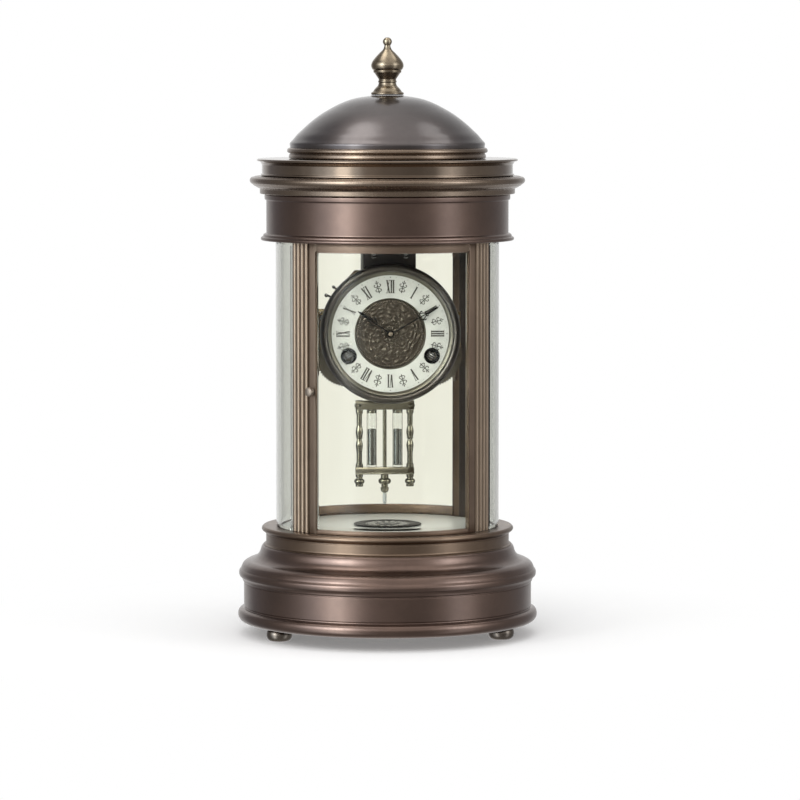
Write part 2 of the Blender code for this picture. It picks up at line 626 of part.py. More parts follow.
def make_knob(end, angle, height):
    """The knob, its shaft through the stile and the latch tongue, which stands up while the door is free."""
    reach = FRAME_THICKNESS + SHAFT_REACH
    outline = [(0, -reach), (SHAFT_RADIUS, -reach), (SHAFT_RADIUS, SEAT_GAP)]
    outline += [(r * KNOB_RADIUS, z * KNOB_LENGTH) for r, z in KNOB_SHARES if z > 0]
    knob = turned(f"{end}_door_knob", outline, BRIGHT, SMALL_SIDES)
    low = (-TONGUE_WIDTH / 2, -TONGUE_WIDTH / 2, -reach)
    tongue = box("tongue", low, (TONGUE_WIDTH / 2, TONGUE_LENGTH, TONGUE_THICKNESS - reach))
    combine(knob, [tongue])
    outwards = radial(1, angle, 0)
    aim = Matrix((outwards.cross((0, 0, 1)) * -1, (0, 0, 1), outwards)).transposed()
    for moved in (knob, tongue):
        moved.data.transform(aim.to_4x4())
        moved.location = radial(CASE_RADIUS, angle, height)


def make_top():
    frieze = shaped(FRIEZE_SHARES, TOP_RADIUS, TOP_BOTTOM, FRIEZE_HEIGHT)
    frieze += [(TOP_BORE, TOP_BOTTOM + FRIEZE_HEIGHT), (TOP_BORE, TOP_BOTTOM)]
    sockets = pin_sockets(TOP_BOTTOM, TOP_BOTTOM + PIN_REACH)
    combine(turned("frieze", frieze, BRONZED), sockets, "DIFFERENCE")
    cornice = shaped(CORNICE_SHARES, TOP_RADIUS, CORNICE_BOTTOM, CORNICE_HEIGHT)
    cornice += [(TOP_BORE, CORNICE_BOTTOM + CORNICE_HEIGHT), (TOP_BORE, CORNICE_BOTTOM)]
    turned("cornice", cornice, BRONZED)
    low = TOP_BOTTOM + SEAT_GAP
    high = low + CEILING_THICKNESS
    edge = TOP_BORE - SEAT_GAP
    turned("ceiling_plate", [(0, low), (edge, low), (edge, high), (0, high)], BRONZED)
    cap = shaped(CAP_BORE_SHARES + CAP_SHARES, CAP_RADIUS, CAP_BOTTOM, CAP_HEIGHT)
    turned("cap", cap, BRONZED)
    dome = shaped(DOME_BORE_SHARES + DOME_OUTER_SHARES, DOME_RADIUS, DOME_BOTTOM, DOME_HEIGHT)
    turned("dome", dome, BRONZED)
    turned("finial", shaped(FINIAL_SHARES, FINIAL_RADIUS, FINIAL_BOTTOM, FINIAL_HEIGHT), GILT, SMALL_SIDES)


def facing(target):
    """Turns a piece made about Z so that its axis runs along -Y, out of the dial."""
    target.data.transform(Matrix.Rotation(math.radians(90), 4, "X"))
    return target


def make_dial():
    """The pan with its bezel, the chapter ring and the centre disc."""
    ring_radius = BEZEL_RADIUS - BEZEL_WIDTH
    rise = BEZEL_RISE
    bezel = [(BEZEL_RADIUS - w * BEZEL_WIDTH, DIAL_FACE + h * rise) for w, h in BEZEL_SHARES]
    pan_front = DIAL_FACE - CHAPTER_THICKNESS - SEAT_GAP
    bezel += [(ring_radius, pan_front), (CENTRE_BORE, pan_front), (CENTRE_BORE, pan_front - PAN_THICKNESS)]
    bezel += [(BEZEL_RADIUS, pan_front - PAN_THICKNESS)]
    pan = facing(turned("dial_bezel", bezel, GILT))
    pan.location.z = DIAL_HEIGHT
    key_holes = []
    for side in (-1, 1):
        start = Vector((side * GREAT_SIDE, PAN_BACK + OVERRUN, DIAL_HEIGHT - GREAT_DROP))
        end = Vector((side * GREAT_SIDE, -DIAL_FACE - OVERRUN, DIAL_HEIGHT - GREAT_DROP))
        key_holes.append(rod("key_hole", KEY_HOLE, start, end, SMALL_SIDES))
    feet = []
    for step in range(4):
        x, z = polar(DIAL_FOOT_CIRCLE, math.radians(45) + step * math.pi / 2)
        start = Vector((x, PAN_BACK - PAN_THICKNESS / 2, DIAL_HEIGHT + z))
        end = Vector((x, FRONT_PLATE_FRONT - SEAT_GAP, DIAL_HEIGHT + z))
        feet.append(rod("dial_foot", DIAL_FOOT_RADIUS, start, end))
    combine(pan, key_holes, "DIFFERENCE")
    combine(pan, feet)

    holes = [circle(CENTRE_RADIUS + SEAT_GAP, TURNED_SIDES)]
    holes += [circle(KEY_HOLE, SMALL_SIDES, (side * GREAT_SIDE, -GREAT_DROP)) for side in (-1, 1)]
    loops = [upright(circle(ring_radius - SEAT_GAP, TURNED_SIDES)), *(upright(hole) for hole in holes)]
    slab("chapter_ring", loops, (0, -DIAL_FACE, DIAL_HEIGHT), (0, CHAPTER_THICKNESS, 0), ENAMEL)

    thickness = CHAPTER_THICKNESS - CENTRE_SINK
    disc = shaped(CENTRE_DISC_SHARES, CENTRE_RADIUS, pan_front + SEAT_GAP, thickness)
    disc += [(CENTRE_BORE, pan_front + SEAT_GAP + thickness), (CENTRE_BORE, pan_front + SEAT_GAP)]
    facing(turned("dial_centre", disc, GILT)).location.z = DIAL_HEIGHT


def plate_outline():
    """Both plates' outline, cut back at its corners so that only the shoulders pass the bezel."""
    half = [
        (PLATE_TOP_HALF_WIDTH, PLATE_TOP), (PLATE_NECK_HALF_WIDTH, PLATE_NECK),
        (PLATE_NECK_HALF_WIDTH, PLATE_SHOULDER), (PLATE_HALF_WIDTH, PLATE_SHOULDER),
        (PLATE_HALF_WIDTH, -PLATE_WAIST), (PLATE_FOOT_HALF_WIDTH, -PLATE_BOTTOM),
    ]
    return half + [(-x, z) for x, z in reversed(half)]


def pivot_holes():
    """The holes that every arbor turns in, in both plates."""
    small = ARBOR_RADIUS + SEAT_GAP
    places = [(GREAT_CENTRE, WINDING_RADIUS + SEAT_GAP), (STRIKE_CENTRE, WINDING_RADIUS + SEAT_GAP)]
    thin = (SECOND_CENTRE, Vector((0, 0)), THIRD_CENTRE, ESCAPE_CENTRE, ANCHOR_CENTRE)
    places += [(spot, small) for spot in thin]
    return [upright(circle(radius, ARBOR_SIDES, spot)) for spot, radius in places]


def at_depth(spot, depth):
    """A place across the dial at a depth along Y."""
    return Vector((spot[0], depth, DIAL_HEIGHT + spot[1]))


def make_plates():
    loops = [upright(plate_outline()), *pivot_holes()]
    reach = (0, PLATE_THICKNESS, 0)
    front = slab("front_plate", loops, (0, FRONT_PLATE_FRONT, DIAL_HEIGHT), reach, BRASS)
    stud_front = FRONT_PLATE_FRONT - 2 * (MOTION_THICKNESS + SEAT_GAP) - 2 * SEAT_GAP
    stud_start = at_depth(MINUTE_WHEEL_CENTRE, FRONT_PLATE_FRONT + PLATE_THICKNESS / 2)
    combine(front, [rod("minute_stud", STUD_RADIUS, stud_start, at_depth(MINUTE_WHEEL_CENTRE, stud_front))])

    back = slab("back_plate", loops, (0, BACK_PLATE_FRONT, DIAL_HEIGHT), reach, BRASS)
    middle = BACK_PLATE_FRONT + PLATE_THICKNESS / 2
    added = []
    for x, z in (
        (PLATE_TOP_HALF_WIDTH, PLATE_NECK + PILLAR_INSET),
        (PLATE_HALF_WIDTH - PILLAR_INSET / 1.5, PLATE_SHOULDER - PILLAR_INSET),
    ):
        for side in (-1, 1):
            start = at_depth((side * x, z), FRONT_PLATE_BACK + SEAT_GAP)
            added.append(rod("pillar", PILLAR_RADIUS, start, at_depth((side * x, z), middle)))
    post_end = BACK_PLATE_BACK + BELL_SETBACK + BELL_DEPTH - BELL_WALL - SEAT_GAP
    post_start = at_depth(BELL_CENTRE, middle)
    added.append(rod("bell_post", POST_RADIUS, post_start, at_depth(BELL_CENTRE, post_end)))
    stud_end = BACK_PLATE_BACK + HAMMER_THICKNESS + 2 * SEAT_GAP
    stud_start = at_depth(HAMMER_CENTRE, middle)
    added.append(rod("hammer_stud", HAMMER_STUD, stud_start, at_depth(HAMMER_CENTRE, stud_end)))
    combine(back, added)


def make_bracket():
    low = BRACKET_BOTTOM
    top = TOP_BOTTOM
    half = BRACKET_WIDTH / 2
    flange = BRACKET_FLANGE_WIDTH / 2
    shoulder = top - BRACKET_FLANGE
    outline = [(-half, low), (half, low), (half, shoulder), (flange, shoulder), (flange, top)]
    outline += [(-flange, top), (-flange, shoulder), (-half, shoulder)]
    depth = BACK_PLATE_BACK - FRONT_PLATE_FRONT
    slab("movement_bracket", [upright(outline)], (0, FRONT_PLATE_FRONT, 0), (0, depth, 0), IRON)


def toothed(name, teeth, module, phase, spot, front, back, bore=0.0):
    """A wheel or pinion with pointed teeth, one of them at the angle phase."""
    pitch = teeth * module / 2 - TOOTH_GAP / 2
    return cogged(name, teeth, pitch + module, pitch - module, phase, spot, front, back, bore)


def cogged(name, teeth, tip, root, phase, spot, front, back, bore=0.0):
    points = []
    for tooth in range(teeth):
        angle = phase + tooth * math.tau / teeth
        points += [polar(tip, angle), polar(root, angle + math.pi / teeth)]
    loops = [upright([(p.x, p.y) for p in points])]
    if bore:
        loops.append(upright(circle(bore, ARBOR_SIDES)))
    return slab(name, loops, at_depth(spot, front), (0, back - front, 0), BRASS)


def bearing(start, end):
    """The angle across the dial from one arbor to another."""
    run = end - start
    return math.atan2(run.y, run.x)


def plane(share):
    """The front of a wheel's plane, as a share of the space between the plates."""
    return FRONT_PLATE_BACK + share * PLATE_SPACING


def arbor(name, spot, front=FRONT_PLATE_FRONT, back=BACK_PLATE_BACK):
    return rod(name, ARBOR_RADIUS, at_depth(spot, front + SEAT_GAP), at_depth(spot, back - SEAT_GAP))


def pinion_span(front, thickness=WHEEL_THICKNESS):
    spare = (PINION_LENGTH - thickness) / 2
    return front - spare, front + thickness + spare


def make_going_train():
    origin = Vector((0, 0))
    second_front = plane(SECOND_PLANE_SHARE)
    great_front = plane(GREAT_PLANE_SHARE)
    centre_front = plane(CENTRE_PLANE_SHARE)
    third_front = plane(THIRD_PLANE_SHARE)
    escape_front = plane(ESCAPE_PLANE_SHARE)

    make_barrel("going", GREAT_CENTRE, bearing(GREAT_CENTRE, SECOND_CENTRE), great_front)
    make_barrel("strike", STRIKE_CENTRE, 0, great_front)

    gap_phase = bearing(SECOND_CENTRE, GREAT_CENTRE) + math.pi / GREAT_PINION_LEAVES
    span = pinion_span(great_front, GREAT_THICKNESS)
    pinion = toothed("pinion", GREAT_PINION_LEAVES, GREAT_MODULE, gap_phase, SECOND_CENTRE, *span)
    phase = bearing(SECOND_CENTRE, origin)
    second_back = second_front + WHEEL_THICKNESS
    span = (second_front, second_back)
    wheel = toothed("second_wheel", SECOND_TEETH, SECOND_MODULE, phase, SECOND_CENTRE, *span)
    seat_train(wheel, [pinion, arbor("arbor", SECOND_CENTRE)], SECOND_CENTRE)

    gap_phase = bearing(origin, SECOND_CENTRE) + math.pi / CENTRE_PINION_LEAVES
    span = pinion_span(second_front)
    pinion = toothed("pinion", CENTRE_PINION_LEAVES, SECOND_MODULE, gap_phase, origin, *span)
    phase = bearing(origin, THIRD_CENTRE)
    centre_back = centre_front + WHEEL_THICKNESS
    wheel = toothed("centre_wheel", CENTRE_TEETH, CENTRE_MODULE, phase, origin, centre_front, centre_back)
    long_arbor = arbor("arbor", origin, minute_front() - HAND_SPACING)
    seat_train(wheel, [pinion, long_arbor], origin)

    gap_phase = bearing(THIRD_CENTRE, origin) + math.pi / THIRD_PINION_LEAVES
    span = pinion_span(centre_front)
    pinion = toothed("pinion", THIRD_PINION_LEAVES, CENTRE_MODULE, gap_phase, THIRD_CENTRE, *span)
    phase = bearing(THIRD_CENTRE, ESCAPE_CENTRE)
    third_back = third_front + WHEEL_THICKNESS
    wheel = toothed("third_wheel", THIRD_TEETH, THIRD_MODULE, phase, THIRD_CENTRE, third_front, third_back)
    seat_train(wheel, [pinion, arbor("arbor", THIRD_CENTRE)], THIRD_CENTRE)

    gap_phase = bearing(ESCAPE_CENTRE, THIRD_CENTRE) + math.pi / ESCAPE_PINION_LEAVES
    span = pinion_span(third_front)
    pinion = toothed("pinion", ESCAPE_PINION_LEAVES, THIRD_MODULE, gap_phase, ESCAPE_CENTRE, *span)
    tip = ESCAPE_RADIUS
    root = ESCAPE_RADIUS - ESCAPE_TOOTH_DEPTH
    escape_back = escape_front + WHEEL_THICKNESS
    wheel = cogged("escape_wheel", ESCAPE_TEETH, tip, root, 0, ESCAPE_CENTRE, escape_front, escape_back)
    seat_train(wheel, [pinion, arbor("arbor", ESCAPE_CENTRE)], ESCAPE_CENTRE)
    make_anchor(escape_front)


def seat_train(wheel, added, spot):
    combine(wheel, added)
    pivot_at(wheel, at_depth(spot, 0), added)


def make_barrel(side, spot, phase, front):
    """The great wheel with its spring barrel, the spring, and the winding arbor that runs through both."""
    back = front + GREAT_THICKNESS
    bore = WINDING_RADIUS + SEAT_GAP
    wheel = toothed(f"{side}_barrel", GREAT_TEETH, GREAT_MODULE, phase, spot, front, back, bore)
    drum_bore = BARREL_RADIUS - BARREL_WALL
    loops = [upright(circle(BARREL_RADIUS, TURNED_SIDES)), upright(circle(drum_bore, TURNED_SIDES))]
    wall_front = at_depth(spot, back - GREAT_THICKNESS / 2)
    wall = slab("barrel_wall", loops, wall_front, (0, BARREL_LENGTH + GREAT_THICKNESS / 2, 0))
    seat_train(wheel, [wall], spot)
    coil = BARREL_RADIUS - BARREL_WALL - SEAT_GAP
    loops = [upright(circle(coil, TURNED_SIDES)), upright(circle(SPRING_CORE, SMALL_SIDES))]
    start = at_depth(spot, back + SEAT_GAP)
    spring = slab(f"{side}_mainspring", loops, start, (0, BARREL_LENGTH - 2 * SEAT_GAP, 0), STEEL)
    pivot_at(spring, at_depth(spot, 0))
    key_end = WINDING_SETBACK - DIAL_FACE
    post = rod(
        f"{side}_winding_arbor", WINDING_RADIUS, at_depth(spot, FRONT_PLATE_FRONT),
        at_depth(spot, BACK_PLATE_BACK), SMALL_SIDES, STEEL,
    )
    low = at_depth(spot, key_end) - Vector((WINDING_SQUARE, 0, WINDING_SQUARE))
    high = at_depth(spot, FRONT_PLATE_FRONT + OVERRUN) + Vector((WINDING_SQUARE, 0, WINDING_SQUARE))
    square = box("winding_square", low, high)
    drum_start = at_depth(spot, back + SEAT_GAP)
    drum_end = at_depth(spot, back + BARREL_LENGTH - SEAT_GAP)
    drum = rod("spring_drum", SPRING_CORE - SEAT_GAP, drum_start, drum_end, SMALL_SIDES)
    seat_train(post, [square, drum], spot)


def make_anchor(escape_front):
    """Arms over the escape wheel, the arbor through both plates, and the crutch that straddles the rod."""
    width = ANCHOR_ARM
    arms = [
        (-ANCHOR_SPREAD - width, -ANCHOR_DROP), (-ANCHOR_SPREAD / 2, -width), (0, 2 * width),
        (ANCHOR_SPREAD / 2, -width), (ANCHOR_SPREAD + width, -ANCHOR_DROP),
        (ANCHOR_SPREAD, -ANCHOR_DROP - width / 2),
        (ANCHOR_SPREAD / 2.4, -2.6 * width), (0, -1.4 * width), (-ANCHOR_SPREAD / 2.4, -2.6 * width),
        (-ANCHOR_SPREAD, -ANCHOR_DROP - width / 2),
    ]
    start = at_depth(ANCHOR_CENTRE, escape_front)
    anchor = slab("anchor", [upright(arms)], start, (0, WHEEL_THICKNESS, 0), STEEL)
    crutch_back = PENDULUM_PLANE - CRUTCH_SETBACK + CRUTCH_THICKNESS
    shaft = arbor("arbor", ANCHOR_CENTRE, FRONT_PLATE_FRONT, crutch_back + SEAT_GAP)
    axis = at_depth(ANCHOR_CENTRE, 0)
    half = CRUTCH_WIDTH / 2
    fork_inner = ROD_RADIUS + SEAT_GAP
    crutch_front = PENDULUM_PLANE - CRUTCH_SETBACK
    arm_low = axis + Vector((-half, crutch_front, -CRUTCH_DROP))
    arm = box("crutch_arm", arm_low, axis + Vector((half, crutch_back, half)))
    foot_half = fork_inner + CRUTCH_WIDTH
    foot_low = axis + Vector((-foot_half, crutch_front, -CRUTCH_DROP - CRUTCH_WIDTH))
    foot = box("crutch_foot", foot_low, axis + Vector((foot_half, crutch_back, -CRUTCH_DROP + half / 2)))
    tines = []
    for side in (-1, 1):
        near = side * fork_inner
        far = side * foot_half
        tine_front = crutch_back - CRUTCH_THICKNESS / 2
        low = axis + Vector((min(near, far), tine_front, -CRUTCH_DROP - CRUTCH_WIDTH))
        high = axis + Vector((max(near, far), PENDULUM_PLANE + ROD_RADIUS, -CRUTCH_DROP))
        tines.append(box("crutch_tine", low, high))
    added = [shaft, arm, foot, *tines]
    combine(anchor, added)
    pivot_at(anchor, axis, added)


def hour_front():
    return -DIAL_FACE - HOUR_HAND_AHEAD


def minute_front():
    return hour_front() - HAND_SPACING


def hand_outline(shares, length, angle):
    right = [(w * length, s * length) for w, s in shares]
    points = right + [(-x, z) for x, z in reversed(right)]
    sine, cosine = math.sin(angle), math.cos(angle)
    return [(x * cosine + z * sine, z * cosine - x * sine) for x, z in points]


def make_motion_works():
    origin = Vector((0, 0))
    towards = bearing(origin, MINUTE_WHEEL_CENTRE)
    back_plane = FRONT_PLATE_FRONT - SEAT_GAP
    cannon_front = back_plane - MOTION_THICKNESS
    hour_back = cannon_front - 2 * SEAT_GAP
    hour_wheel_front = hour_back - MOTION_THICKNESS

    cannon = toothed("cannon_pinion", CANNON_TEETH, CANNON_MODULE, towards, origin, cannon_front, back_plane)
    pipe_back = cannon_front + MOTION_THICKNESS / 2
    pipe = hand_pipe("cannon_pipe", CANNON_PIPE, minute_front() + HAND_THICKNESS / 2, pipe_back)
    front = minute_front()
    minute = make_hand("minute_hand", MINUTE_HAND_SHARES, MINUTE_LENGTH, MINUTE_ANGLE, MINUTE_BOSS, front)
    bored(minute, [pipe, cannon], origin, CANNON_BORE, minute_front(), back_plane)

    gap_phase = bearing(MINUTE_WHEEL_CENTRE, origin) + math.pi / MINUTE_TEETH
    span = (cannon_front, back_plane)
    wheel = toothed("minute_wheel", MINUTE_TEETH, CANNON_MODULE, gap_phase, MINUTE_WHEEL_CENTRE, *span)
    phase = bearing(MINUTE_WHEEL_CENTRE, origin)
    span = (hour_wheel_front, cannon_front + MOTION_THICKNESS / 2)
    pinion = toothed("pinion", MINUTE_PINION_LEAVES, HOUR_MODULE, phase, MINUTE_WHEEL_CENTRE, *span)
    bore = STUD_RADIUS + SEAT_GAP
    bored(wheel, [pinion], MINUTE_WHEEL_CENTRE, bore, hour_wheel_front, back_plane)

    gap_phase = towards + math.pi / HOUR_TEETH
    wheel = toothed("hour_wheel", HOUR_TEETH, HOUR_MODULE, gap_phase, origin, hour_wheel_front, hour_back)
    pipe_front = hour_front() + HAND_THICKNESS + HAND_BOSS_RISE + SEAT_GAP
    pipe = hand_pipe("hour_pipe", HOUR_PIPE, pipe_front, hour_back - MOTION_THICKNESS / 2)
    bored(wheel, [pipe], origin, HOUR_BORE, pipe_front, hour_back)
    hour = make_hand("hour_hand", HOUR_HAND_SHARES, HOUR_LENGTH, HOUR_ANGLE, HOUR_BOSS, hour_front())
    bored(hour, [], origin, HOUR_BORE, hour_front(), hour_front() + HAND_THICKNESS)


def hand_pipe(name, radius, front, back):
    origin = (0, 0)
    return rod(name, radius, at_depth(origin, front), at_depth(origin, back))


def make_hand(name, shares, length, angle, boss, front):
    """A hand's blade joined to a boss a little thicker than itself."""
    outline = hand_outline(shares, length, angle)
    origin = (0, 0)
    hand = slab(name, [upright(outline)], at_depth(origin, front), (0, HAND_THICKNESS, 0), IRON)
    start = at_depth(origin, front - HAND_BOSS_RISE)
    end = at_depth(origin, front + HAND_THICKNESS + HAND_BOSS_RISE)
    return combine(hand, [rod(f"{name}_boss", boss, start, end, SMALL_SIDES)])


def bored(target, added, spot, radius, front, back):
    """Joins the added pieces, cuts one bore through them all, and sets the origin on the arbor."""
    bore = rod("bore", radius, at_depth(spot, front - OVERRUN), at_depth(spot, back + OVERRUN))
    helpers = [cut.object for cut in target.modifiers] + added + [bore]
    combine(target, added)
    combine(target, [bore], "DIFFERENCE")
    pivot_at(target, at_depth(spot, 0), helpers)


def make_bell():
    """A bell on the back plate's post, its mouth towards the plate, and the hammer beside its rim."""
    rim = BACK_PLATE_BACK + BELL_SETBACK
    crown = rim + BELL_DEPTH
    shoulder = rim + BELL_DEPTH / 2
    outline = [
        (0, crown - BELL_WALL), (BELL_RADIUS / 2, crown - 1.5 * BELL_WALL),
        (BELL_RADIUS - 3 * BELL_WALL, shoulder),
        (BELL_RADIUS - BELL_WALL, rim), (BELL_RADIUS, rim),
        (BELL_RADIUS - 2 * BELL_WALL, shoulder + BELL_WALL),
        (BELL_RADIUS / 2, crown - BELL_WALL / 2), (0, crown),
    ]
    bell = turned("bell", outline, BRASS)
    bell.data.transform(Matrix.Rotation(math.radians(-90), 4, "X"))
    bell.location = at_depth(BELL_CENTRE, 0)

    front = BACK_PLATE_BACK + SEAT_GAP
    reach = (0, HAMMER_THICKNESS, 0)
    hub = [upright(circle(HAMMER_HUB, SMALL_SIDES)), upright(circle(HAMMER_STUD + SEAT_GAP, ARBOR_SIDES))]
    hammer = slab("hammer", hub, at_depth(HAMMER_CENTRE, front), reach, STEEL)
    along = (HAMMER_HEAD_CENTRE - HAMMER_CENTRE).normalized()
    across = Vector((-along.y, along.x)) * HAMMER_BAR
    near = along * (HAMMER_STUD + SEAT_GAP + HAMMER_BAR / 2)
    far = HAMMER_HEAD_CENTRE - HAMMER_CENTRE
    bar_loop = [near + across, far + across, far - across, near - across]
    bar_points = upright([(p.x, p.y) for p in bar_loop])
    bar = slab("hammer_bar", [bar_points], at_depth(HAMMER_CENTRE, front), reach)
    head_loop = [upright(circle(HAMMER_HEAD, SMALL_SIDES))]
    head = slab("hammer_head", head_loop, at_depth(HAMMER_HEAD_CENTRE, front), reach)
    combine(hammer, [bar, head])
    pivot_at(hammer, at_depth(HAMMER_CENTRE, 0), [bar, head])


def make_cock():
    """The bracket on the back plate that clamps the suspension spring's top."""
    low = PENDULUM_AXIS + COCK_CLEARANCE
    high = low + COCK_HEIGHT
    cheek = PENDULUM_AXIS + SEAT_GAP
    near = BACK_PLATE_BACK + SEAT_GAP
    far = PENDULUM_PLANE + SPRING_WIDTH / 2 + COCK_CHEEK / 2
    cheek_near = PENDULUM_PLANE - SPRING_WIDTH / 2
    outline = [(near, low), (cheek_near, low), (cheek_near, cheek), (far, cheek), (far, high), (near, high)]
    start = (-COCK_HALF_WIDTH, 0, 0)
    slab("suspension_cock", [[(0, y, z) for y, z in outline]], start, (2 * COCK_HALF_WIDTH, 0, 0), BRASS)


def make_pendulum():
    axis = Vector((0, PENDULUM_PLANE, PENDULUM_AXIS))
    rod_top = -ROD_TOP_DROP
    leaf = Vector((SPRING_THICKNESS / 2, SPRING_WIDTH / 2, 0))
    spring = box("suspension_spring", axis - leaf + Vector((0, 0, rod_top + SEAT_GAP)), axis + leaf, STEEL)
    pivot_at(spring, axis)

    bar_top = -BOB_TOP
    bar_bottom = bar_top - TOP_BAR_HEIGHT
    column_top = bar_bottom - SEAT_GAP
    frame_top = column_top - COLUMN_HEIGHT
    frame_bottom = frame_top - BOTTOM_BAR_HEIGHT
    ball_centre = frame_top - COLUMN_BALL_DROP
    low = frame_bottom - POINTER_DROP
    outline = [(0, low), (POINTER_RADIUS, low + POINTER_RADIUS), (POINTER_RADIUS, frame_bottom)]
    outline += [(ROD_RADIUS, frame_bottom), (ROD_RADIUS, rod_top), (0, rod_top)]
    stem = turned("pendulum_rod", outline, BRASS, ARBOR_SIDES)
    ball_height = frame_bottom - SEAT_GAP - CENTRE_BALL
    ball = turned("rod_ball", shaped(BALL_SHARES, CENTRE_BALL, ball_height, CENTRE_BALL), None, SMALL_SIDES)
    combine(stem, [ball])
    for moved in (stem, ball):
        moved.location = axis

    depth = BAR_DEPTH / 2
    rod_hole = circle(ROD_RADIUS + SEAT_GAP, ARBOR_SIDES)
    ends = [(-TOP_BAR_HALF, -depth), (TOP_BAR_HALF, -depth), (TOP_BAR_HALF, depth), (-TOP_BAR_HALF, depth)]
    level = [[(x, y, 0) for x, y in loop] for loop in (ends, rod_hole)]
    bar = slab("pendulum_top_bar", level, (0, 0, bar_bottom), (0, 0, TOP_BAR_HEIGHT), BRASS)
    bar.location = axis

    frame = slab("pendulum_frame", level, (0, 0, frame_bottom), (0, 0, BOTTOM_BAR_HEIGHT), BRASS)
    frame.location = axis
    for side in (-1, 1):
        outline = [(0, ball_centre)]
        outline += shaped(COLUMN_SHARES, COLUMN_RADIUS, frame_top, COLUMN_HEIGHT)
        outline += [(0, column_top)]
        outline[1:1] = [(outline[1][0], ball_centre)]
        column = turned("column", outline, None, ARBOR_SIDES)
        ball_outline = shaped(BALL_SHARES, COLUMN_BALL, ball_centre, COLUMN_BALL)
        ball = turned("column_ball", ball_outline, None, ARBOR_SIDES)
        for moved in (column, ball):
            moved.location = axis + Vector((side * COLUMN_SIDE, 0, 0))
        combine(frame, [column, ball])

    for name, side in (("left", -1), ("right", 1)):
        foot = frame_top + SEAT_GAP
        bore = JAR_RADIUS - JAR_WALL
        glass = [(0, foot), (JAR_RADIUS, foot), (JAR_RADIUS, column_top), (bore, column_top)]
        glass += [(bore, foot + JAR_FOOT), (0, foot + JAR_FOOT)]
        jar = turned(f"pendulum_jar_{name}", glass, GLASS, SMALL_SIDES)
        fill = foot + JAR_FOOT + SEAT_GAP
        edge = bore - SEAT_GAP
        liquid = [(0, fill), (edge, fill), (edge, fill + MERCURY_FILL), (0, fill + MERCURY_FILL)]
        mercury = turned(f"mercury_{name}", liquid, MERCURY, SMALL_SIDES)
        for moved in (jar, mercury):
            moved.location = axis + Vector((side * JAR_SIDE, 0, 0))

    nut_top = frame_bottom - NUT_DROP
    bore = POINTER_RADIUS + SEAT_GAP
    nut_bottom = nut_top - NUT_HEIGHT
    outline = [(bore, nut_bottom), *shaped(NUT_SHARES, NUT_RADIUS, nut_bottom, NUT_HEIGHT)]
    nut = turned("rating_nut", [*outline, (bore, nut_top)], BRASS, SMALL_SIDES)
    nut.location = axis


def main():
    clear_scene()
    make_feet()
    make_base()
    make_pilasters()
    make_side_glass()
    make_door("front", 0)
    make_door("rear", math.pi)
    make_top()
    make_dial()
    make_plates()
    make_bracket()
    make_going_train()
    make_motion_works()
    make_bell()
    make_cock()
    make_pendulum()


main()
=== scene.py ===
"""Round glazed table clock: turned metal, curved bevelled glass, dial, openwork hands and jar pendulum."""

import json
import math

import bmesh
import bpy
from mathutils import Matrix, Vector


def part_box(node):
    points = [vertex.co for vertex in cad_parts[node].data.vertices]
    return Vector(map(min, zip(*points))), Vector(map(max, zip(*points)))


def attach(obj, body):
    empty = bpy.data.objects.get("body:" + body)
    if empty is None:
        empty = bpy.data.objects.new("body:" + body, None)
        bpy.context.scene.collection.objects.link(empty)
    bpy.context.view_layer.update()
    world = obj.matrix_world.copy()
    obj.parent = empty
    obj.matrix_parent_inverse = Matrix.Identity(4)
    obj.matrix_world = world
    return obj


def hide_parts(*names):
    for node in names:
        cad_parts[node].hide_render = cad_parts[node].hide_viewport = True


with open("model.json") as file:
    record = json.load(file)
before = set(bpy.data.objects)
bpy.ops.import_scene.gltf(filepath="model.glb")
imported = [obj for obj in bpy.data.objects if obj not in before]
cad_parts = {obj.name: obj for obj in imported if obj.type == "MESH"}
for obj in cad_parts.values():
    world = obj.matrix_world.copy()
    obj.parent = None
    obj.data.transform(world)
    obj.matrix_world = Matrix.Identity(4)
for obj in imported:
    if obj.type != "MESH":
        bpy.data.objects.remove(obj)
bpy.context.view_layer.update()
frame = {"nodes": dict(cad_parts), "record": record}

MM = 0.001
TURN = math.tau

# Places in the frame of the CAD parts, in metres
DIAL = Vector((0.0, 0.0, 0.228))
DIAL_FACE = 36.0 * MM
KEY_SIDE = 30.8 * MM
KEY_DROP = 16.4 * MM
KEY_HOLE = 4.9 * MM
BELL = Vector((0.0, 0.0, 0.220))
PENDULUM = Vector((0.0, 0.036, 0.0))
JAR_SIDE = 9.8 * MM
COLUMN_SIDE = 19.3 * MM
FRONT_TURN = 0.0
REAR_TURN = math.pi
DOOR_HALF_ANGLE = math.radians(46.8)
STILE_ANGLE = math.radians(4.9)
PILASTER_FIRST = math.radians(47.15)
PILASTER_LAST = math.radians(60.53)
KNOB_ANGLE = math.radians(-44.35)
KNOB_HEIGHT = 187.0 * MM
CASE_OUTER = 84.0 * MM
CASE_INNER = 80.5 * MM
GLASS_OUTER = 83.55 * MM
GLASS_INNER = 80.95 * MM
DOOR_LOW = 82.7 * MM
DOOR_HIGH = 295.6 * MM
FRONT_SILL = 85.6 * MM
REAR_SILL = 89.2 * MM
DOOR_STRETCH = 0.35 * MM
BEAD = 0.8 * MM
RAIL_STEPS = 56
HINGE_RADIUS = 83.2 * MM
HEAD = 289.3 * MM
FLOOR_LEVEL = 82.2 * MM
CEILING_LEVEL = 296.1 * MM
UPRIGHT_LOW = FLOOR_LEVEL + 0.3 * MM
UPRIGHT_HIGH = CEILING_LEVEL - 0.3 * MM
MINUTE_ANGLE = math.radians(60.4)
HOUR_ANGLE = math.radians(305)

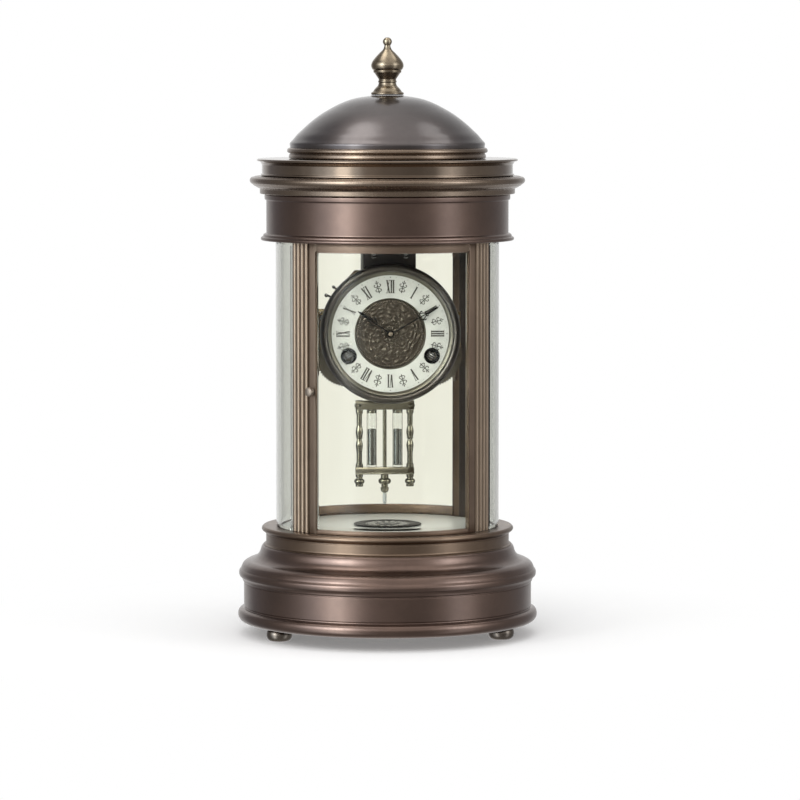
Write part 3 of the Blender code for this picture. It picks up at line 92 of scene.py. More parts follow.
# How finely round pieces are cut
CASE_SIDES = 144
DIAL_SIDES = 128
SMALL_SIDES = 40
CORNER = 0.35
HOLD = 0.6
WELD = 0.0000005
SEAM = 0.000002
EASED_ANGLE = math.radians(50)
NEARLY_STRAIGHT = math.radians(168)

BODY_OF = {part: body for body, parts in frame["record"]["behaviour"]["bodies"].items() for part in parts}


# Node helpers, for shaders and for Geometry Nodes

FLOAT = "NodeSocketFloat"
WHOLE = "NodeSocketInt"
VECTOR = "NodeSocketVector"
COLOUR = "NodeSocketColor"


def feed(tree, socket, value):
    if isinstance(value, bpy.types.NodeSocket):
        tree.links.new(value, socket)
    else:
        socket.default_value = value


def node(tree, kind, inputs=None, **settings):
    """A new node with its settings, and its inputs either linked or given a plain value."""
    made = tree.nodes.new(kind)
    for key, value in settings.items():
        setattr(made, key, value)
    for key, value in (inputs or {}).items():
        feed(tree, made.inputs[key], value)
    return made


def maths(tree, operation, first, second=0.0, clamp=False):
    made = node(tree, "ShaderNodeMath", {0: first, 1: second}, operation=operation, use_clamp=clamp)
    return made.outputs[0]


def plus(tree, first, second):
    return maths(tree, "ADD", first, second)


def minus(tree, first, second):
    return maths(tree, "SUBTRACT", first, second)


def times(tree, first, second):
    return maths(tree, "MULTIPLY", first, second)


def vector(tree, x=0.0, y=0.0, z=0.0):
    return node(tree, "ShaderNodeCombineXYZ", {0: x, 1: y, 2: z}).outputs[0]


def own_place(tree):
    return node(tree, "ShaderNodeTexCoord").outputs["Object"]


def dress(tree, made, **values):
    """Feeds a node's inputs, whose names have an underscore here for each space."""
    for label, value in values.items():
        feed(tree, made.inputs[label.replace("_", " ")], value)


def raised(tree, height, strength, distance):
    """The normal of a surface that this height raises by up to the distance."""
    inputs = {"Height": height, "Strength": strength, "Distance": distance}
    return node(tree, "ShaderNodeBump", inputs).outputs["Normal"]


def blended(tree, share, first, second):
    """The first shader where the share is 0 and the second where it is 1."""
    return node(tree, "ShaderNodeMixShader", {0: share, 1: first, 2: second}).outputs[0]


def noise(tree, place, scale, detail=3.0, roughness=0.55):
    inputs = {"Vector": place, "Scale": scale, "Detail": detail, "Roughness": roughness}
    return node(tree, "ShaderNodeTexNoise", inputs).outputs["Fac"]


def ramp(tree, value, stops, interpolation="LINEAR"):
    """A colour ramp from (place, colour) stops."""
    made = node(tree, "ShaderNodeValToRGB", {"Fac": value})
    band = made.color_ramp
    band.interpolation = interpolation
    while len(band.elements) < len(stops):
        band.elements.new(0.5)
    for element, (place, colour) in zip(band.elements, stops):
        element.position = place
        element.color = colour
    return made.outputs["Color"]


def grey(level):
    return (level, level, level, 1.0)


def mixed(tree, factor, first, second):
    return node(tree, "ShaderNodeMix", {0: factor, 6: first, 7: second}, data_type="RGBA").outputs[2]


def spread(tree, value, low, high, new_low=0.0, new_high=1.0):
    inputs = {0: value, 1: low, 2: high, 3: new_low, 4: new_high}
    return node(tree, "ShaderNodeMapRange", inputs, interpolation_type="SMOOTHSTEP").outputs[0]


def takes(tree, inputs):
    """Gives a tree its named inputs (kind, default)."""
    for label, (kind, value) in inputs.items():
        socket = tree.interface.new_socket(label, in_out="INPUT", socket_type=kind)
        socket.default_value = value


def shader_group(name, inputs, outputs):
    """An empty shader node group with named inputs (kind, default) and outputs (kind)."""
    group = bpy.data.node_groups.new(name, "ShaderNodeTree")
    takes(group, inputs)
    for label, kind in outputs.items():
        group.interface.new_socket(label, in_out="OUTPUT", socket_type=kind)
    return group, group.nodes.new("NodeGroupInput").outputs, group.nodes.new("NodeGroupOutput")


# Shared surface effects

LINES_PER_METRE = 4600.0


def make_aged_metal():
    """Patina clouds, rubbed edges and tool lines. Along is the distance that the tool lines step across."""
    inputs = {
        "Base": (COLOUR, (0.2, 0.15, 0.1, 1.0)),
        "Patina": (COLOUR, (0.1, 0.07, 0.05, 1.0)),
        "Rubbed": (COLOUR, (0.4, 0.3, 0.2, 1.0)),
        "Along": (FLOAT, 0.0),
        "Gloss": (FLOAT, 0.3),
        "Mottling": (FLOAT, 0.7),
        "Edge wear": (FLOAT, 0.5),
        "Lines": (FLOAT, 0.5),
    }
    outputs = {"Color": COLOUR, "Roughness": FLOAT, "Height": FLOAT}
    group, given, end = shader_group("aged_metal", inputs, outputs)
    place = own_place(group)
    clouds = noise(group, place, 38.0, 4.0)
    stains = noise(group, place, 210.0, 4.0, 0.6)
    grain = noise(group, place, 1500.0, 2.0)
    cover = plus(group, times(group, clouds, 0.72), times(group, stains, 0.28))
    share = times(group, spread(group, cover, 0.40, 0.62), given["Mottling"])
    colour = mixed(group, share, given["Base"], given["Patina"])
    point = node(group, "ShaderNodeNewGeometry").outputs["Pointiness"]
    edges = spread(group, point, 0.515, 0.60)
    broken = times(group, edges, spread(group, stains, 0.30, 0.55, 0.75, 1.0))
    worn = times(group, broken, given["Edge wear"])
    colour = mixed(group, worn, colour, given["Rubbed"])
    steps = times(group, given["Along"], LINES_PER_METRE)
    across = {"W": steps, "Scale": 1.0, "Detail": 2.0}
    lines = node(group, "ShaderNodeTexNoise", across, noise_dimensions="1D").outputs["Fac"]
    ridges = times(group, minus(group, lines, 0.5), given["Lines"])
    speck = times(group, minus(group, grain, 0.5), 0.05)
    rough = plus(group, given["Gloss"], times(group, ridges, 0.12))
    rough = plus(group, rough, times(group, minus(group, stains, 0.5), 0.10))
    rough = minus(group, rough, times(group, worn, 0.08))
    rough = maths(group, "ADD", rough, speck, clamp=True)
    height = plus(group, ridges, times(group, grain, 0.22))
    dress(group, end, Color=colour, Roughness=rough, Height=height)
    return group


def make_handled_glass():
    """Faint smudges, dust specks and the slow wave of drawn glass."""
    inputs = {"Clean": (FLOAT, 0.003), "Smudge": (FLOAT, 0.02)}
    group, given, end = shader_group("handled_glass", inputs, {"Roughness": FLOAT, "Height": FLOAT})
    place = own_place(group)
    smears = spread(group, noise(group, place, 24.0, 5.0, 0.7), 0.52, 0.78)
    specks = spread(group, noise(group, place, 900.0, 1.0), 0.72, 0.80)
    dirt = maths(group, "MAXIMUM", smears, times(group, specks, 0.6))
    rough = plus(group, given["Clean"], times(group, dirt, given["Smudge"]))
    dress(group, end, Roughness=rough, Height=noise(group, place, 14.0, 1.0))
    return group


AGED_METAL = make_aged_metal()
HANDLED_GLASS = make_handled_glass()


# Directions that tool lines follow


def object_axes(tree, centre=(0.0, 0.0, 0.0)):
    place = own_place(tree)
    shifted = node(tree, "ShaderNodeVectorMath", {0: place, 1: centre}, operation="SUBTRACT").outputs[0]
    return node(tree, "ShaderNodeSeparateXYZ", {0: shifted}).outputs


def distance_from_axis(tree, first, second):
    squares = plus(tree, times(tree, first, first), times(tree, second, second))
    return maths(tree, "SQRT", squares)


def turned_about_case(tree):
    """Rings round the case's upright axis."""
    axes = object_axes(tree)
    return plus(tree, distance_from_axis(tree, axes["X"], axes["Y"]), axes["Z"])


def turned_about_dial(tree):
    axes = object_axes(tree, tuple(DIAL))
    return plus(tree, distance_from_axis(tree, axes["X"], axes["Z"]), axes["Y"])


def drawn_upright(tree):
    """Lines that run up and down, as on drawn and filed bars."""
    axes = object_axes(tree)
    return plus(tree, axes["X"], times(tree, axes["Y"], 0.83))


def brushed_level(tree):
    axes = object_axes(tree)
    return plus(tree, axes["Z"], times(tree, axes["Y"], 0.21))


# Finishes

METAL_BUMP = 0.08


def blank(name):
    made = bpy.data.materials.new(name)
    made.use_nodes = True
    return made, made.node_tree, made.node_tree.nodes["Principled BSDF"]


def metal(name, colours, along, gloss=0.3, mottling=0.4, wear=0.3, lines=0.4, coat=0.0):
    """A metal finish from the aged metal effect: colours are its base, patina and rubbed colours."""
    made, tree, shader = blank(name)
    base, patina, rubbed = ((*colour, 1.0) for colour in colours)
    effect = node(tree, "ShaderNodeGroup", node_tree=AGED_METAL)
    dress(tree, effect, Base=base, Patina=patina, Rubbed=rubbed, Along=along(tree), Gloss=gloss,
          Mottling=mottling, Edge_wear=wear, Lines=lines)
    found = effect.outputs
    dress(tree, shader, Base_Color=found["Color"], Roughness=found["Roughness"],
          Normal=raised(tree, found["Height"], METAL_BUMP, 0.05 * MM), Metallic=1.0, Coat_Weight=coat,
          Coat_Roughness=0.12)
    return made


# Each metal's base, patina and rubbed colours
BRONZE_COLOURS = ((0.146, 0.095, 0.074), (0.102, 0.067, 0.054), (0.36, 0.28, 0.22))
COLLAR_COLOURS = ((0.190, 0.132, 0.092), (0.125, 0.086, 0.060), (0.46, 0.37, 0.27))
WARM_COLOURS = ((0.190, 0.138, 0.098), (0.124, 0.088, 0.062), (0.46, 0.37, 0.27))
DOME_COLOURS = ((0.100, 0.084, 0.080), (0.072, 0.060, 0.058), (0.30, 0.26, 0.23))
MOULDED_COLOURS = ((0.208, 0.153, 0.112), (0.138, 0.100, 0.073), (0.46, 0.38, 0.29))
UPRIGHT_COLOURS = ((0.200, 0.138, 0.099), (0.140, 0.095, 0.069), (0.40, 0.32, 0.23))
GILT_COLOURS = ((0.32, 0.262, 0.182), (0.155, 0.120, 0.086), (0.55, 0.47, 0.36))
KNOB_COLOURS = ((0.300, 0.245, 0.196), (0.200, 0.162, 0.130), (0.50, 0.43, 0.35))
FOOT_COLOURS = ((0.150, 0.124, 0.102), (0.100, 0.082, 0.067), (0.40, 0.36, 0.30))
DARK_COLOURS = ((0.115, 0.100, 0.080), (0.070, 0.060, 0.050), (0.34, 0.31, 0.26))
BEZEL_COLOURS = ((0.114, 0.102, 0.094), (0.076, 0.068, 0.062), (0.30, 0.275, 0.25))
BRASS_COLOURS = ((0.34, 0.27, 0.16), (0.20, 0.155, 0.09), (0.55, 0.47, 0.32))
WHEEL_COLOURS = ((0.160, 0.142, 0.114), (0.085, 0.075, 0.060), (0.380, 0.343, 0.281))
OLIVE_COLOURS = ((0.270, 0.250, 0.195), (0.150, 0.136, 0.104), (0.50, 0.47, 0.38))
STEEL_COLOURS = ((0.20, 0.20, 0.21), (0.09, 0.085, 0.085), (0.45, 0.45, 0.46))
BRIGHT_COLOURS = ((0.62, 0.64, 0.65), (0.50, 0.51, 0.52), (0.80, 0.80, 0.80))
SILVERED_COLOURS = ((0.80, 0.83, 0.86), (0.70, 0.73, 0.76), (0.88, 0.89, 0.90))
# Painted shade: a darker copy of the pilasters' bronze, for the rear pilasters that stand in shade at the
# back of the case
SHADED_COLOURS = ((0.088, 0.070, 0.064), (0.066, 0.053, 0.050), (0.26, 0.22, 0.18))
IRON_COLOURS = ((0.036, 0.030, 0.031), (0.022, 0.019, 0.020), (0.12, 0.11, 0.10))
BLACK_COLOURS = ((0.016, 0.015, 0.015), (0.009, 0.009, 0.009), (0.06, 0.056, 0.052))

# The numbers of a finish are its gloss, mottling, edge wear, tool lines and coat
CASE_BRONZE = metal("case_bronze", BRONZE_COLOURS, turned_about_case,
                    0.31, 0.45, 0.30, 0.3, 0.3)
WARM_BRONZE = metal("warm_bronze", WARM_COLOURS, turned_about_case,
                    0.15, 0.40, 0.35, 0.25, 0.4)
MOULDED_BRONZE = metal("moulded_bronze", MOULDED_COLOURS, turned_about_case,
                       0.27, 0.40, 0.35, 0.25, 0.2)
COLLAR_BRONZE = metal("collar_bronze", COLLAR_COLOURS, turned_about_case,
                      0.33, 0.40, 0.35, 0.25, 0.05)
DOME_BRONZE = metal("dome_bronze", DOME_COLOURS, turned_about_case,
                    0.33, 0.35, 0.20, 0.4, 0.6)
UPRIGHT_BRONZE = metal("upright_bronze", UPRIGHT_COLOURS, drawn_upright,
                       0.44, 0.50, 0.35, 0.25, 0.1)
FINIAL_GILT = metal("finial_gilt", GILT_COLOURS, turned_about_case, 0.27, 0.80, 0.30, 0.3)
FOOT_BRONZE = metal("foot_bronze", FOOT_COLOURS, turned_about_case,
                    0.26, 0.40, 0.30, 0.3, 0.1)
KNOB_GILT = metal("knob_gilt", KNOB_COLOURS, turned_about_case, 0.52, 0.40, 0.30, 0.3)
PLATE_BRASS = metal("plate_brass", BRASS_COLOURS, brushed_level, 0.32, 0.40, 0.30, 0.7)
WHEEL_BRASS = metal("wheel_brass", WHEEL_COLOURS, turned_about_dial, 0.32, 0.50, 0.30, 0.5)
BELL_BRASS = metal("bell_brass", GILT_COLOURS, turned_about_dial,
                   0.22, 0.40, 0.30, 0.6, 0.1)
BOB_BRASS = metal("bob_brass", OLIVE_COLOURS, drawn_upright, 0.20, 0.50, 0.50, 0.3, 0.2)
BLUED_STEEL = metal("blued_steel", STEEL_COLOURS, brushed_level, 0.26, 0.50, 0.40, 0.5)
BRIGHT_STEEL = metal("bright_steel", SILVERED_COLOURS, turned_about_dial, 0.30, 0.20, 0.20, 0.05)
MEDAL_RELIEF = metal("medal_relief", STEEL_COLOURS, turned_about_case, 0.30, 0.90, 0.60, 0.6)
PALE_RELIEF = metal("pale_relief", BRIGHT_COLOURS, turned_about_case, 0.36, 0.80, 0.30, 0.3)
# Painted shade: the darker bronze of the rear pilasters
SHADED_BRONZE = metal("shaded_bronze", SHADED_COLOURS, drawn_upright, 0.38, 0.40, 0.10, 0.1)
BLACK_IRON = metal("cast_iron", IRON_COLOURS, brushed_level, 0.46, 0.60, 0.30, 0.3)
HAND_BLACK = metal("blackened_steel", BLACK_COLOURS, drawn_upright, 0.34, 0.50, 0.20, 0.3)


def make_enamel():
    """White vitreous enamel, a little greyed in the pores and finely crazed."""
    made, tree, shader = blank("fired_enamel")
    place = own_place(tree)
    cloud = noise(tree, place, 60.0, 3.0)
    colour = mixed(tree, spread(tree, cloud, 0.40, 0.68), (0.68, 0.71, 0.735, 1.0), (0.59, 0.62, 0.645, 1.0))
    crack = node(tree, "ShaderNodeTexVoronoi", {"Vector": place, "Scale": 260.0}, feature="DISTANCE_TO_EDGE")
    craze = spread(tree, crack.outputs["Distance"], 0.0, 0.035, 1.0, 0.0)
    craze = times(tree, craze, spread(tree, noise(tree, place, 45.0), 0.5, 0.65, 0.0, 0.35))
    colour = mixed(tree, craze, colour, (0.45, 0.43, 0.38, 1.0))
    pores = noise(tree, place, 700.0, 2.0)
    dress(tree, shader, Base_Color=colour, Roughness=spread(tree, pores, 0.3, 0.7, 0.16, 0.28),
          Normal=raised(tree, pores, 0.08, 0.05 * MM), Coat_Weight=0.4)
    return made


def make_dial_paint():
    """Fired black paint, thin enough to vary a little."""
    made, tree, shader = blank("dial_paint")
    place = own_place(tree)
    thin = noise(tree, place, 900.0, 3.0)
    share = spread(tree, thin, 0.35, 0.75)
    colour = mixed(tree, share, (0.030, 0.029, 0.030, 1.0), (0.085, 0.082, 0.080, 1.0))
    dress(tree, shader, Base_Color=colour, Roughness=spread(tree, thin, 0.2, 0.8, 0.30, 0.50))
    return made


def make_silvered():
    """The floor's silvered plate: satin, a little milky and lightly clouded."""
    made = metal("silvered_plate", SILVERED_COLOURS, turned_about_case,
                 0.30, 0.50, 0.20, 0.2, 0.3)
    tree = made.node_tree
    dress(tree, tree.nodes["Principled BSDF"], Metallic=0.12)
    return made


def make_relief():
    """The dial centre's pressed metal: dark in the hollows, and paler on the heights, which is partly rubbed
    wear and partly a painted highlight on the raised relief.
    """
    made = metal("relief_bronze", DARK_COLOURS, turned_about_dial, 0.44, 0.6, 0.7, 0.3, 0.05)
    tree = made.node_tree
    shader = tree.nodes["Principled BSDF"]
    axes = object_axes(tree)
    height = spread(tree, times(tree, axes["Y"], -1.0), 35.15 * MM, 35.78 * MM)
    worn = shader.inputs["Base Color"].links[0].from_socket
    hollow = mixed(tree, height, (0.080, 0.067, 0.056, 1.0), worn)
    # Paler towards the highest parts: rubbed wear, and also a painted highlight where the raised relief
    # catches the light
    heights = times(tree, maths(tree, "POWER", height, 3.0), 0.20)
    feed(tree, shader.inputs["Base Color"], mixed(tree, heights, hollow, (0.31, 0.27, 0.22, 1.0)))
    return made


def make_bezel_finish():
    """The bezel's bronze, with a painted highlight: a paler colour on the slope inside its rim."""
    made = metal("bezel_bronze", BEZEL_COLOURS, turned_about_dial, 0.36, 0.35, 0.35, 0.3, 0.2)
    tree = made.node_tree
    shader = tree.nodes["Principled BSDF"]
    axes = object_axes(tree, tuple(DIAL))
    reach = distance_from_axis(tree, axes["X"], axes["Z"])
    # Painted highlight: the slope inside the rim is painted paler, standing in for the light that it catches
    inside = spread(tree, reach, 45.4 * MM, 46.6 * MM, 0.8, 0.0)
    worn = shader.inputs["Base Color"].links[0].from_socket
    feed(tree, shader.inputs["Base Color"], mixed(tree, inside, worn, (0.27, 0.25, 0.205, 1.0)))
    return made


def make_glass(name, tint, smudge, index):
    """Clear glass that lets the lamps through to what it shuts in."""
    made, tree, shader = blank(name)
    effect = node(tree, "ShaderNodeGroup", node_tree=HANDLED_GLASS)
    effect.inputs["Smudge"].default_value = smudge
    wave = raised(tree, effect.outputs["Height"], 0.02, 1.0 * MM)
    dress(tree, shader, Base_Color=(*tint, 1.0), Transmission_Weight=1.0, IOR=index,
          Roughness=effect.outputs["Roughness"], Normal=wave)
    passing = node(tree, "ShaderNodeBsdfTransparent", {"Color": (*tint, 1.0)})
    shadow = node(tree, "ShaderNodeLightPath").outputs["Is Shadow Ray"]
    both = blended(tree, shadow, shader.outputs[0], passing.outputs[0])
    feed(tree, tree.nodes["Material Output"].inputs["Surface"], both)
    return made


def make_mercury():
    made, tree, shader = blank("mercury_fill")
    place = own_place(tree)
    film = noise(tree, place, 160.0, 3.0)
    colour = mixed(tree, spread(tree, film, 0.35, 0.7), (0.30, 0.30, 0.285, 1.0), (0.22, 0.215, 0.20, 1.0))
    dress(tree, shader, Base_Color=colour, Roughness=spread(tree, film, 0.2, 0.8, 0.10, 0.24), Metallic=1.0)
    return made


def make_wood():
    """The stained board that closes the plinth from below."""
    made, tree, shader = blank("base_wood")
    place = own_place(tree)
    drawn = node(tree, "ShaderNodeMapping", {"Vector": place, "Scale": (1.0, 14.0, 6.0)}).outputs[0]
    figure = noise(tree, drawn, 22.0, 5.0, 0.65)
    colour = ramp(tree, figure, [(0.3, (0.030, 0.016, 0.009, 1.0)), (0.5, (0.085, 0.048, 0.027, 1.0)),
                                 (0.72, (0.14, 0.082, 0.045, 1.0))])
    dress(tree, shader, Base_Color=colour, Roughness=spread(tree, figure, 0.2, 0.8, 0.5, 0.72),
          Normal=raised(tree, figure, 0.3, 0.2 * MM))
    return made


WHITE_ENAMEL = make_enamel()
DIAL_PAINT = make_dial_paint()
SILVERED_PLATE = make_silvered()
RELIEF_BRONZE = make_relief()
BEZEL_BRONZE = make_bezel_finish()
# The values of a glass are its tint, how far smudges roughen it, and its refractive index
CASE_GLASS = make_glass("case_glass", (0.915, 0.912, 0.840), 0.015, 1.17)
SIDE_GLASS = make_glass("side_glass", (0.805, 0.812, 0.768), 0.015, 1.35)
JAR_GLASS = make_glass("jar_glass", (0.95, 0.96, 0.95), 0.01, 1.45)
MERCURY = make_mercury()
BASE_WOOD = make_wood()


# Geometry Nodes trees


def new_rule(name, inputs):
    """An empty Geometry Nodes tree with named inputs (kind, default)."""
    tree = bpy.data.node_groups.new(name, "GeometryNodeTree")
    tree.interface.new_socket("Geometry", in_out="INPUT", socket_type="NodeSocketGeometry")
    takes(tree, inputs)
    tree.interface.new_socket("Finish", in_out="INPUT", socket_type="NodeSocketMaterial")
    tree.interface.new_socket("Geometry", in_out="OUTPUT", socket_type="NodeSocketGeometry")
    return tree, tree.nodes.new("NodeGroupInput").outputs, tree.nodes.new("NodeGroupOutput")


def close_rule(tree, given, end, geometry):
    """Ends a tree: its instances made real and given their finish."""
    real = node(tree, "GeometryNodeRealizeInstances", {"Geometry": geometry})
    whole = node(tree, "GeometryNodeSetMaterial", {"Geometry": real.outputs[0], "Material": given["Finish"]})
    feed(tree, end.inputs["Geometry"], whole.outputs[0])


def make_turning():
    """Turns the input's line of points, (radius, 0, height) each, round the upright axis."""
    tree, given, end = new_rule("turning", {"Sides": (WHOLE, 64), "Weld": (FLOAT, WELD)})
    line = given["Geometry"]
    size = node(tree, "GeometryNodeAttributeDomainSize", {"Geometry": line}, component="MESH")
    across = plus(tree, given["Sides"], 1.0)
    grid = node(tree, "GeometryNodeMeshGrid")
    dress(tree, grid, Vertices_X=size.outputs["Point Count"], Vertices_Y=across)
    index = node(tree, "GeometryNodeInputIndex").outputs[0]
    station = maths(tree, "FLOOR", maths(tree, "DIVIDE", plus(tree, index, 0.5), across))
    step = minus(tree, index, times(tree, station, across))
    found = node(tree, "GeometryNodeSampleIndex", data_type="FLOAT_VECTOR", domain="POINT")
    place = node(tree, "GeometryNodeInputPosition").outputs[0]
    dress(tree, found, Geometry=line, Value=place, Index=station)
    parts = node(tree, "ShaderNodeSeparateXYZ", {0: found.outputs[0]}).outputs
    angle = times(tree, maths(tree, "DIVIDE", step, given["Sides"]), TURN)
    x = times(tree, parts["X"], maths(tree, "SINE", angle))
    y = times(tree, parts["X"], maths(tree, "COSINE", angle))
    spot = vector(tree, x, y, parts["Z"])
    moved = node(tree, "GeometryNodeSetPosition", {"Geometry": grid.outputs["Mesh"], "Position": spot})
    closed = node(tree, "GeometryNodeMergeByDistance")
    dress(tree, closed, Geometry=moved.outputs[0], Distance=given["Weld"])
    close_rule(tree, given, end, closed.outputs[0])
    return tree


def make_ring_of():
    """Repeats the input's shape at even steps round an axis through the origin."""
    tree, given, end = new_rule("ring_of", {
        "Count": (WHOLE, 12), "First angle": (FLOAT, 0.0), "Axis": (VECTOR, (0.0, 0.0, 1.0))})
    points = node(tree, "GeometryNodeMeshLine", {"Count": given["Count"], "Offset": (0.0, 0.0, 0.0)})
    index = node(tree, "GeometryNodeInputIndex").outputs[0]
    step = maths(tree, "DIVIDE", TURN, given["Count"])
    angle = plus(tree, times(tree, index, step), given["First angle"])
    spin = node(tree, "ShaderNodeVectorMath", {0: given["Axis"], "Scale": angle}, operation="SCALE")
    copies = node(tree, "GeometryNodeInstanceOnPoints", {
        "Points": points.outputs[0], "Instance": given["Geometry"], "Rotation": spin.outputs[0]})
    close_rule(tree, given, end, copies.outputs[0])
    return tree


def make_reeding():
    """Adds upright half-round reeds to the input's backing, evenly round an arc about the upright axis."""
    tree, given, end = new_rule("reeding", {
        "Reeds": (WHOLE, 4), "First angle": (FLOAT, 0.8), "Last angle": (FLOAT, 1.0),
        "Ring radius": (FLOAT, 0.08), "Reed half width": (FLOAT, 0.002), "Reed rise": (FLOAT, 0.002),
        "Low": (FLOAT, 0.0), "High": (FLOAT, 0.1)})
    height = minus(tree, given["High"], given["Low"])
    reed = node(tree, "GeometryNodeMeshCylinder", {
        "Vertices": 28, "Side Segments": 1, "Radius": 1.0, "Depth": height})
    sized = vector(tree, given["Reed half width"], given["Reed rise"], 1.0)
    shaped = node(tree, "GeometryNodeTransform", {"Geometry": reed.outputs["Mesh"], "Scale": sized})
    points = node(tree, "GeometryNodeMeshLine", {"Count": given["Reeds"], "Offset": (0.0, 0.0, 0.0)})
    index = node(tree, "GeometryNodeInputIndex").outputs[0]
    span = minus(tree, given["Last angle"], given["First angle"])
    pitch = maths(tree, "DIVIDE", span, given["Reeds"])
    steps = times(tree, plus(tree, index, 0.5), pitch)
    angle = plus(tree, given["First angle"], steps)
    ring = given["Ring radius"]
    x = times(tree, ring, maths(tree, "SINE", angle))
    y = times(tree, times(tree, ring, maths(tree, "COSINE", angle)), -1.0)
    middle = times(tree, plus(tree, given["High"], given["Low"]), 0.5)
    spot = vector(tree, x, y, middle)
    placed = node(tree, "GeometryNodeSetPosition", {"Geometry": points.outputs[0], "Position": spot})
    turn = vector(tree, z=angle)
    copies = node(tree, "GeometryNodeInstanceOnPoints", {
        "Points": placed.outputs[0], "Instance": shaped.outputs[0], "Rotation": turn})
    joined = node(tree, "GeometryNodeJoinGeometry")
    tree.links.new(given["Geometry"], joined.inputs[0])
    tree.links.new(copies.outputs[0], joined.inputs[0])
    close_rule(tree, given, end, joined.outputs[0])
    return tree


def make_screwing():
    """Sets a slotted, domed screw head on each point of the input, facing the way that the Turn input turns
    it.
    """
    tree, given, end = new_rule("screwing", {
        "Head radius": (FLOAT, 0.002), "Head height": (FLOAT, 0.001), "Slot width": (FLOAT, 0.0005),
        "Turn": (VECTOR, (0.0, 0.0, 0.0)), "Seed": (WHOLE, 4)})
    radius = given["Head radius"]
    height = given["Head height"]
    head = node(tree, "GeometryNodeMeshCylinder", {
        "Vertices": 24, "Side Segments": 2, "Radius": radius, "Depth": height})
    dome = node(tree, "GeometryNodeMeshCylinder", {
        "Vertices": 24, "Radius": times(tree, radius, 0.86), "Depth": height})
    lifted = vector(tree, z=times(tree, height, 0.16))
    domed = node(tree, "GeometryNodeTransform", {"Geometry": dome.outputs["Mesh"], "Translation": lifted})
    across = times(tree, radius, 3.0)
    cut_size = vector(tree, across, given["Slot width"], height)
    slot = node(tree, "GeometryNodeMeshCube", {"Size": cut_size})
    above = vector(tree, z=times(tree, height, 0.62))
    cutter = node(tree, "GeometryNodeTransform", {"Geometry": slot.outputs["Mesh"], "Translation": above})
    whole = node(tree, "GeometryNodeMeshBoolean", operation="UNION", solver="EXACT")
    tree.links.new(head.outputs["Mesh"], whole.inputs["Mesh 2"])
    tree.links.new(domed.outputs[0], whole.inputs["Mesh 2"])
    slotted = node(tree, "GeometryNodeMeshBoolean", operation="DIFFERENCE", solver="EXACT")
    tree.links.new(whole.outputs[0], slotted.inputs["Mesh 1"])
    tree.links.new(cutter.outputs[0], slotted.inputs["Mesh 2"])
    chance = node(tree, "FunctionNodeRandomValue", data_type="FLOAT")
    feed(tree, chance.inputs["Seed"], given["Seed"])
    spin = vector(tree, z=times(tree, chance.outputs[1], TURN))
    copies = node(tree, "GeometryNodeInstanceOnPoints", {
        "Points": given["Geometry"], "Instance": slotted.outputs[0], "Rotation": given["Turn"]})
    turned_heads = node(tree, "GeometryNodeRotateInstances", {
        "Instances": copies.outputs[0], "Rotation": spin, "Local Space": True})
    close_rule(tree, given, end, turned_heads.outputs[0])
    return tree


TURNING = make_turning()
RING_OF = make_ring_of()
REEDING = make_reeding()
SCREWING = make_screwing()


def shown(name, data):
    """A new object in the scene."""
    made = bpy.data.objects.new(name, data)
    bpy.context.scene.collection.objects.link(made)
    return made


def by_rule(mesh, tree, finish, **values):
    """The plain mesh that a tree makes of a mesh; its inputs' names have an underscore for each space."""
    base = shown("rule_base", mesh)
    modifier = base.modifiers.new("rule", "NODES")
    modifier.node_group = tree
    wanted = {label.replace("_", " "): value for label, value in values.items()}
    wanted["Finish"] = finish
    for item in tree.interface.items_tree:
        if item.item_type == "SOCKET" and item.in_out == "INPUT" and item.name in wanted:
            modifier[item.identifier] = wanted.pop(item.name)
    if wanted:
        raise ValueError(f"{tree.name} has no input named {sorted(wanted)}")
    result = bpy.data.meshes.new_from_object(base.evaluated_get(bpy.context.evaluated_depsgraph_get()))
    base.modifiers.remove(modifier)
    bpy.data.objects.remove(base)
    result.materials.clear()
    result.materials.append(finish)
    return result


# Mesh helpers


def finish_mesh(bm, name="part", angle=40):
    """The bmesh as a smooth mesh that faces outwards, sharp where it turns by more than the angle."""
    bmesh.ops.remove_doubles(bm, verts=bm.verts, dist=WELD)
    bmesh.ops.recalc_face_normals(bm, faces=bm.faces)
    for face in bm.faces:
        face.material_index = 0
    mesh = bpy.data.meshes.new(name)
    bm.to_mesh(mesh)
    bm.free()
    mesh.shade_smooth()
    mesh.set_sharp_from_angle(angle=math.radians(angle))
    return mesh


def outward(mesh, angle=40):
    bm = bmesh.new()
    bm.from_mesh(mesh)
    fresh = finish_mesh(bm, mesh.name, angle)
    for finish in mesh.materials:
        fresh.materials.append(finish)
    return fresh


def piece(name, mesh, finish=None, replaces=(), body=None, place=None):
    """A finished piece on its body, standing for the CAD nodes that it replaces."""
    if place is not None:
        mesh.transform(place)
    if finish is not None:
        mesh.materials.clear()
        mesh.materials.append(finish)
    made = shown(name, mesh)
    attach(made, body or BODY_OF[replaces[0]])
    if replaces:
        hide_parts(*replaces)
    return made


def curve_through(points, steps=5):
    """Points on a smooth line through the given ones."""
    ends = [points[0] * 2 - points[1], *points, points[-1] * 2 - points[-2]]
    line = [points[0]]
    for a, b, c, d in zip(ends, ends[1:], ends[2:], ends[3:]):
        for step in range(1, steps + 1):
            t = step / steps
            line.append(0.5 * ((2 * b) + (c - a) * t + (2 * a - 5 * b + 4 * c - d) * t * t
                               + (3 * b - a - 3 * c + d) * t ** 3))
    return line


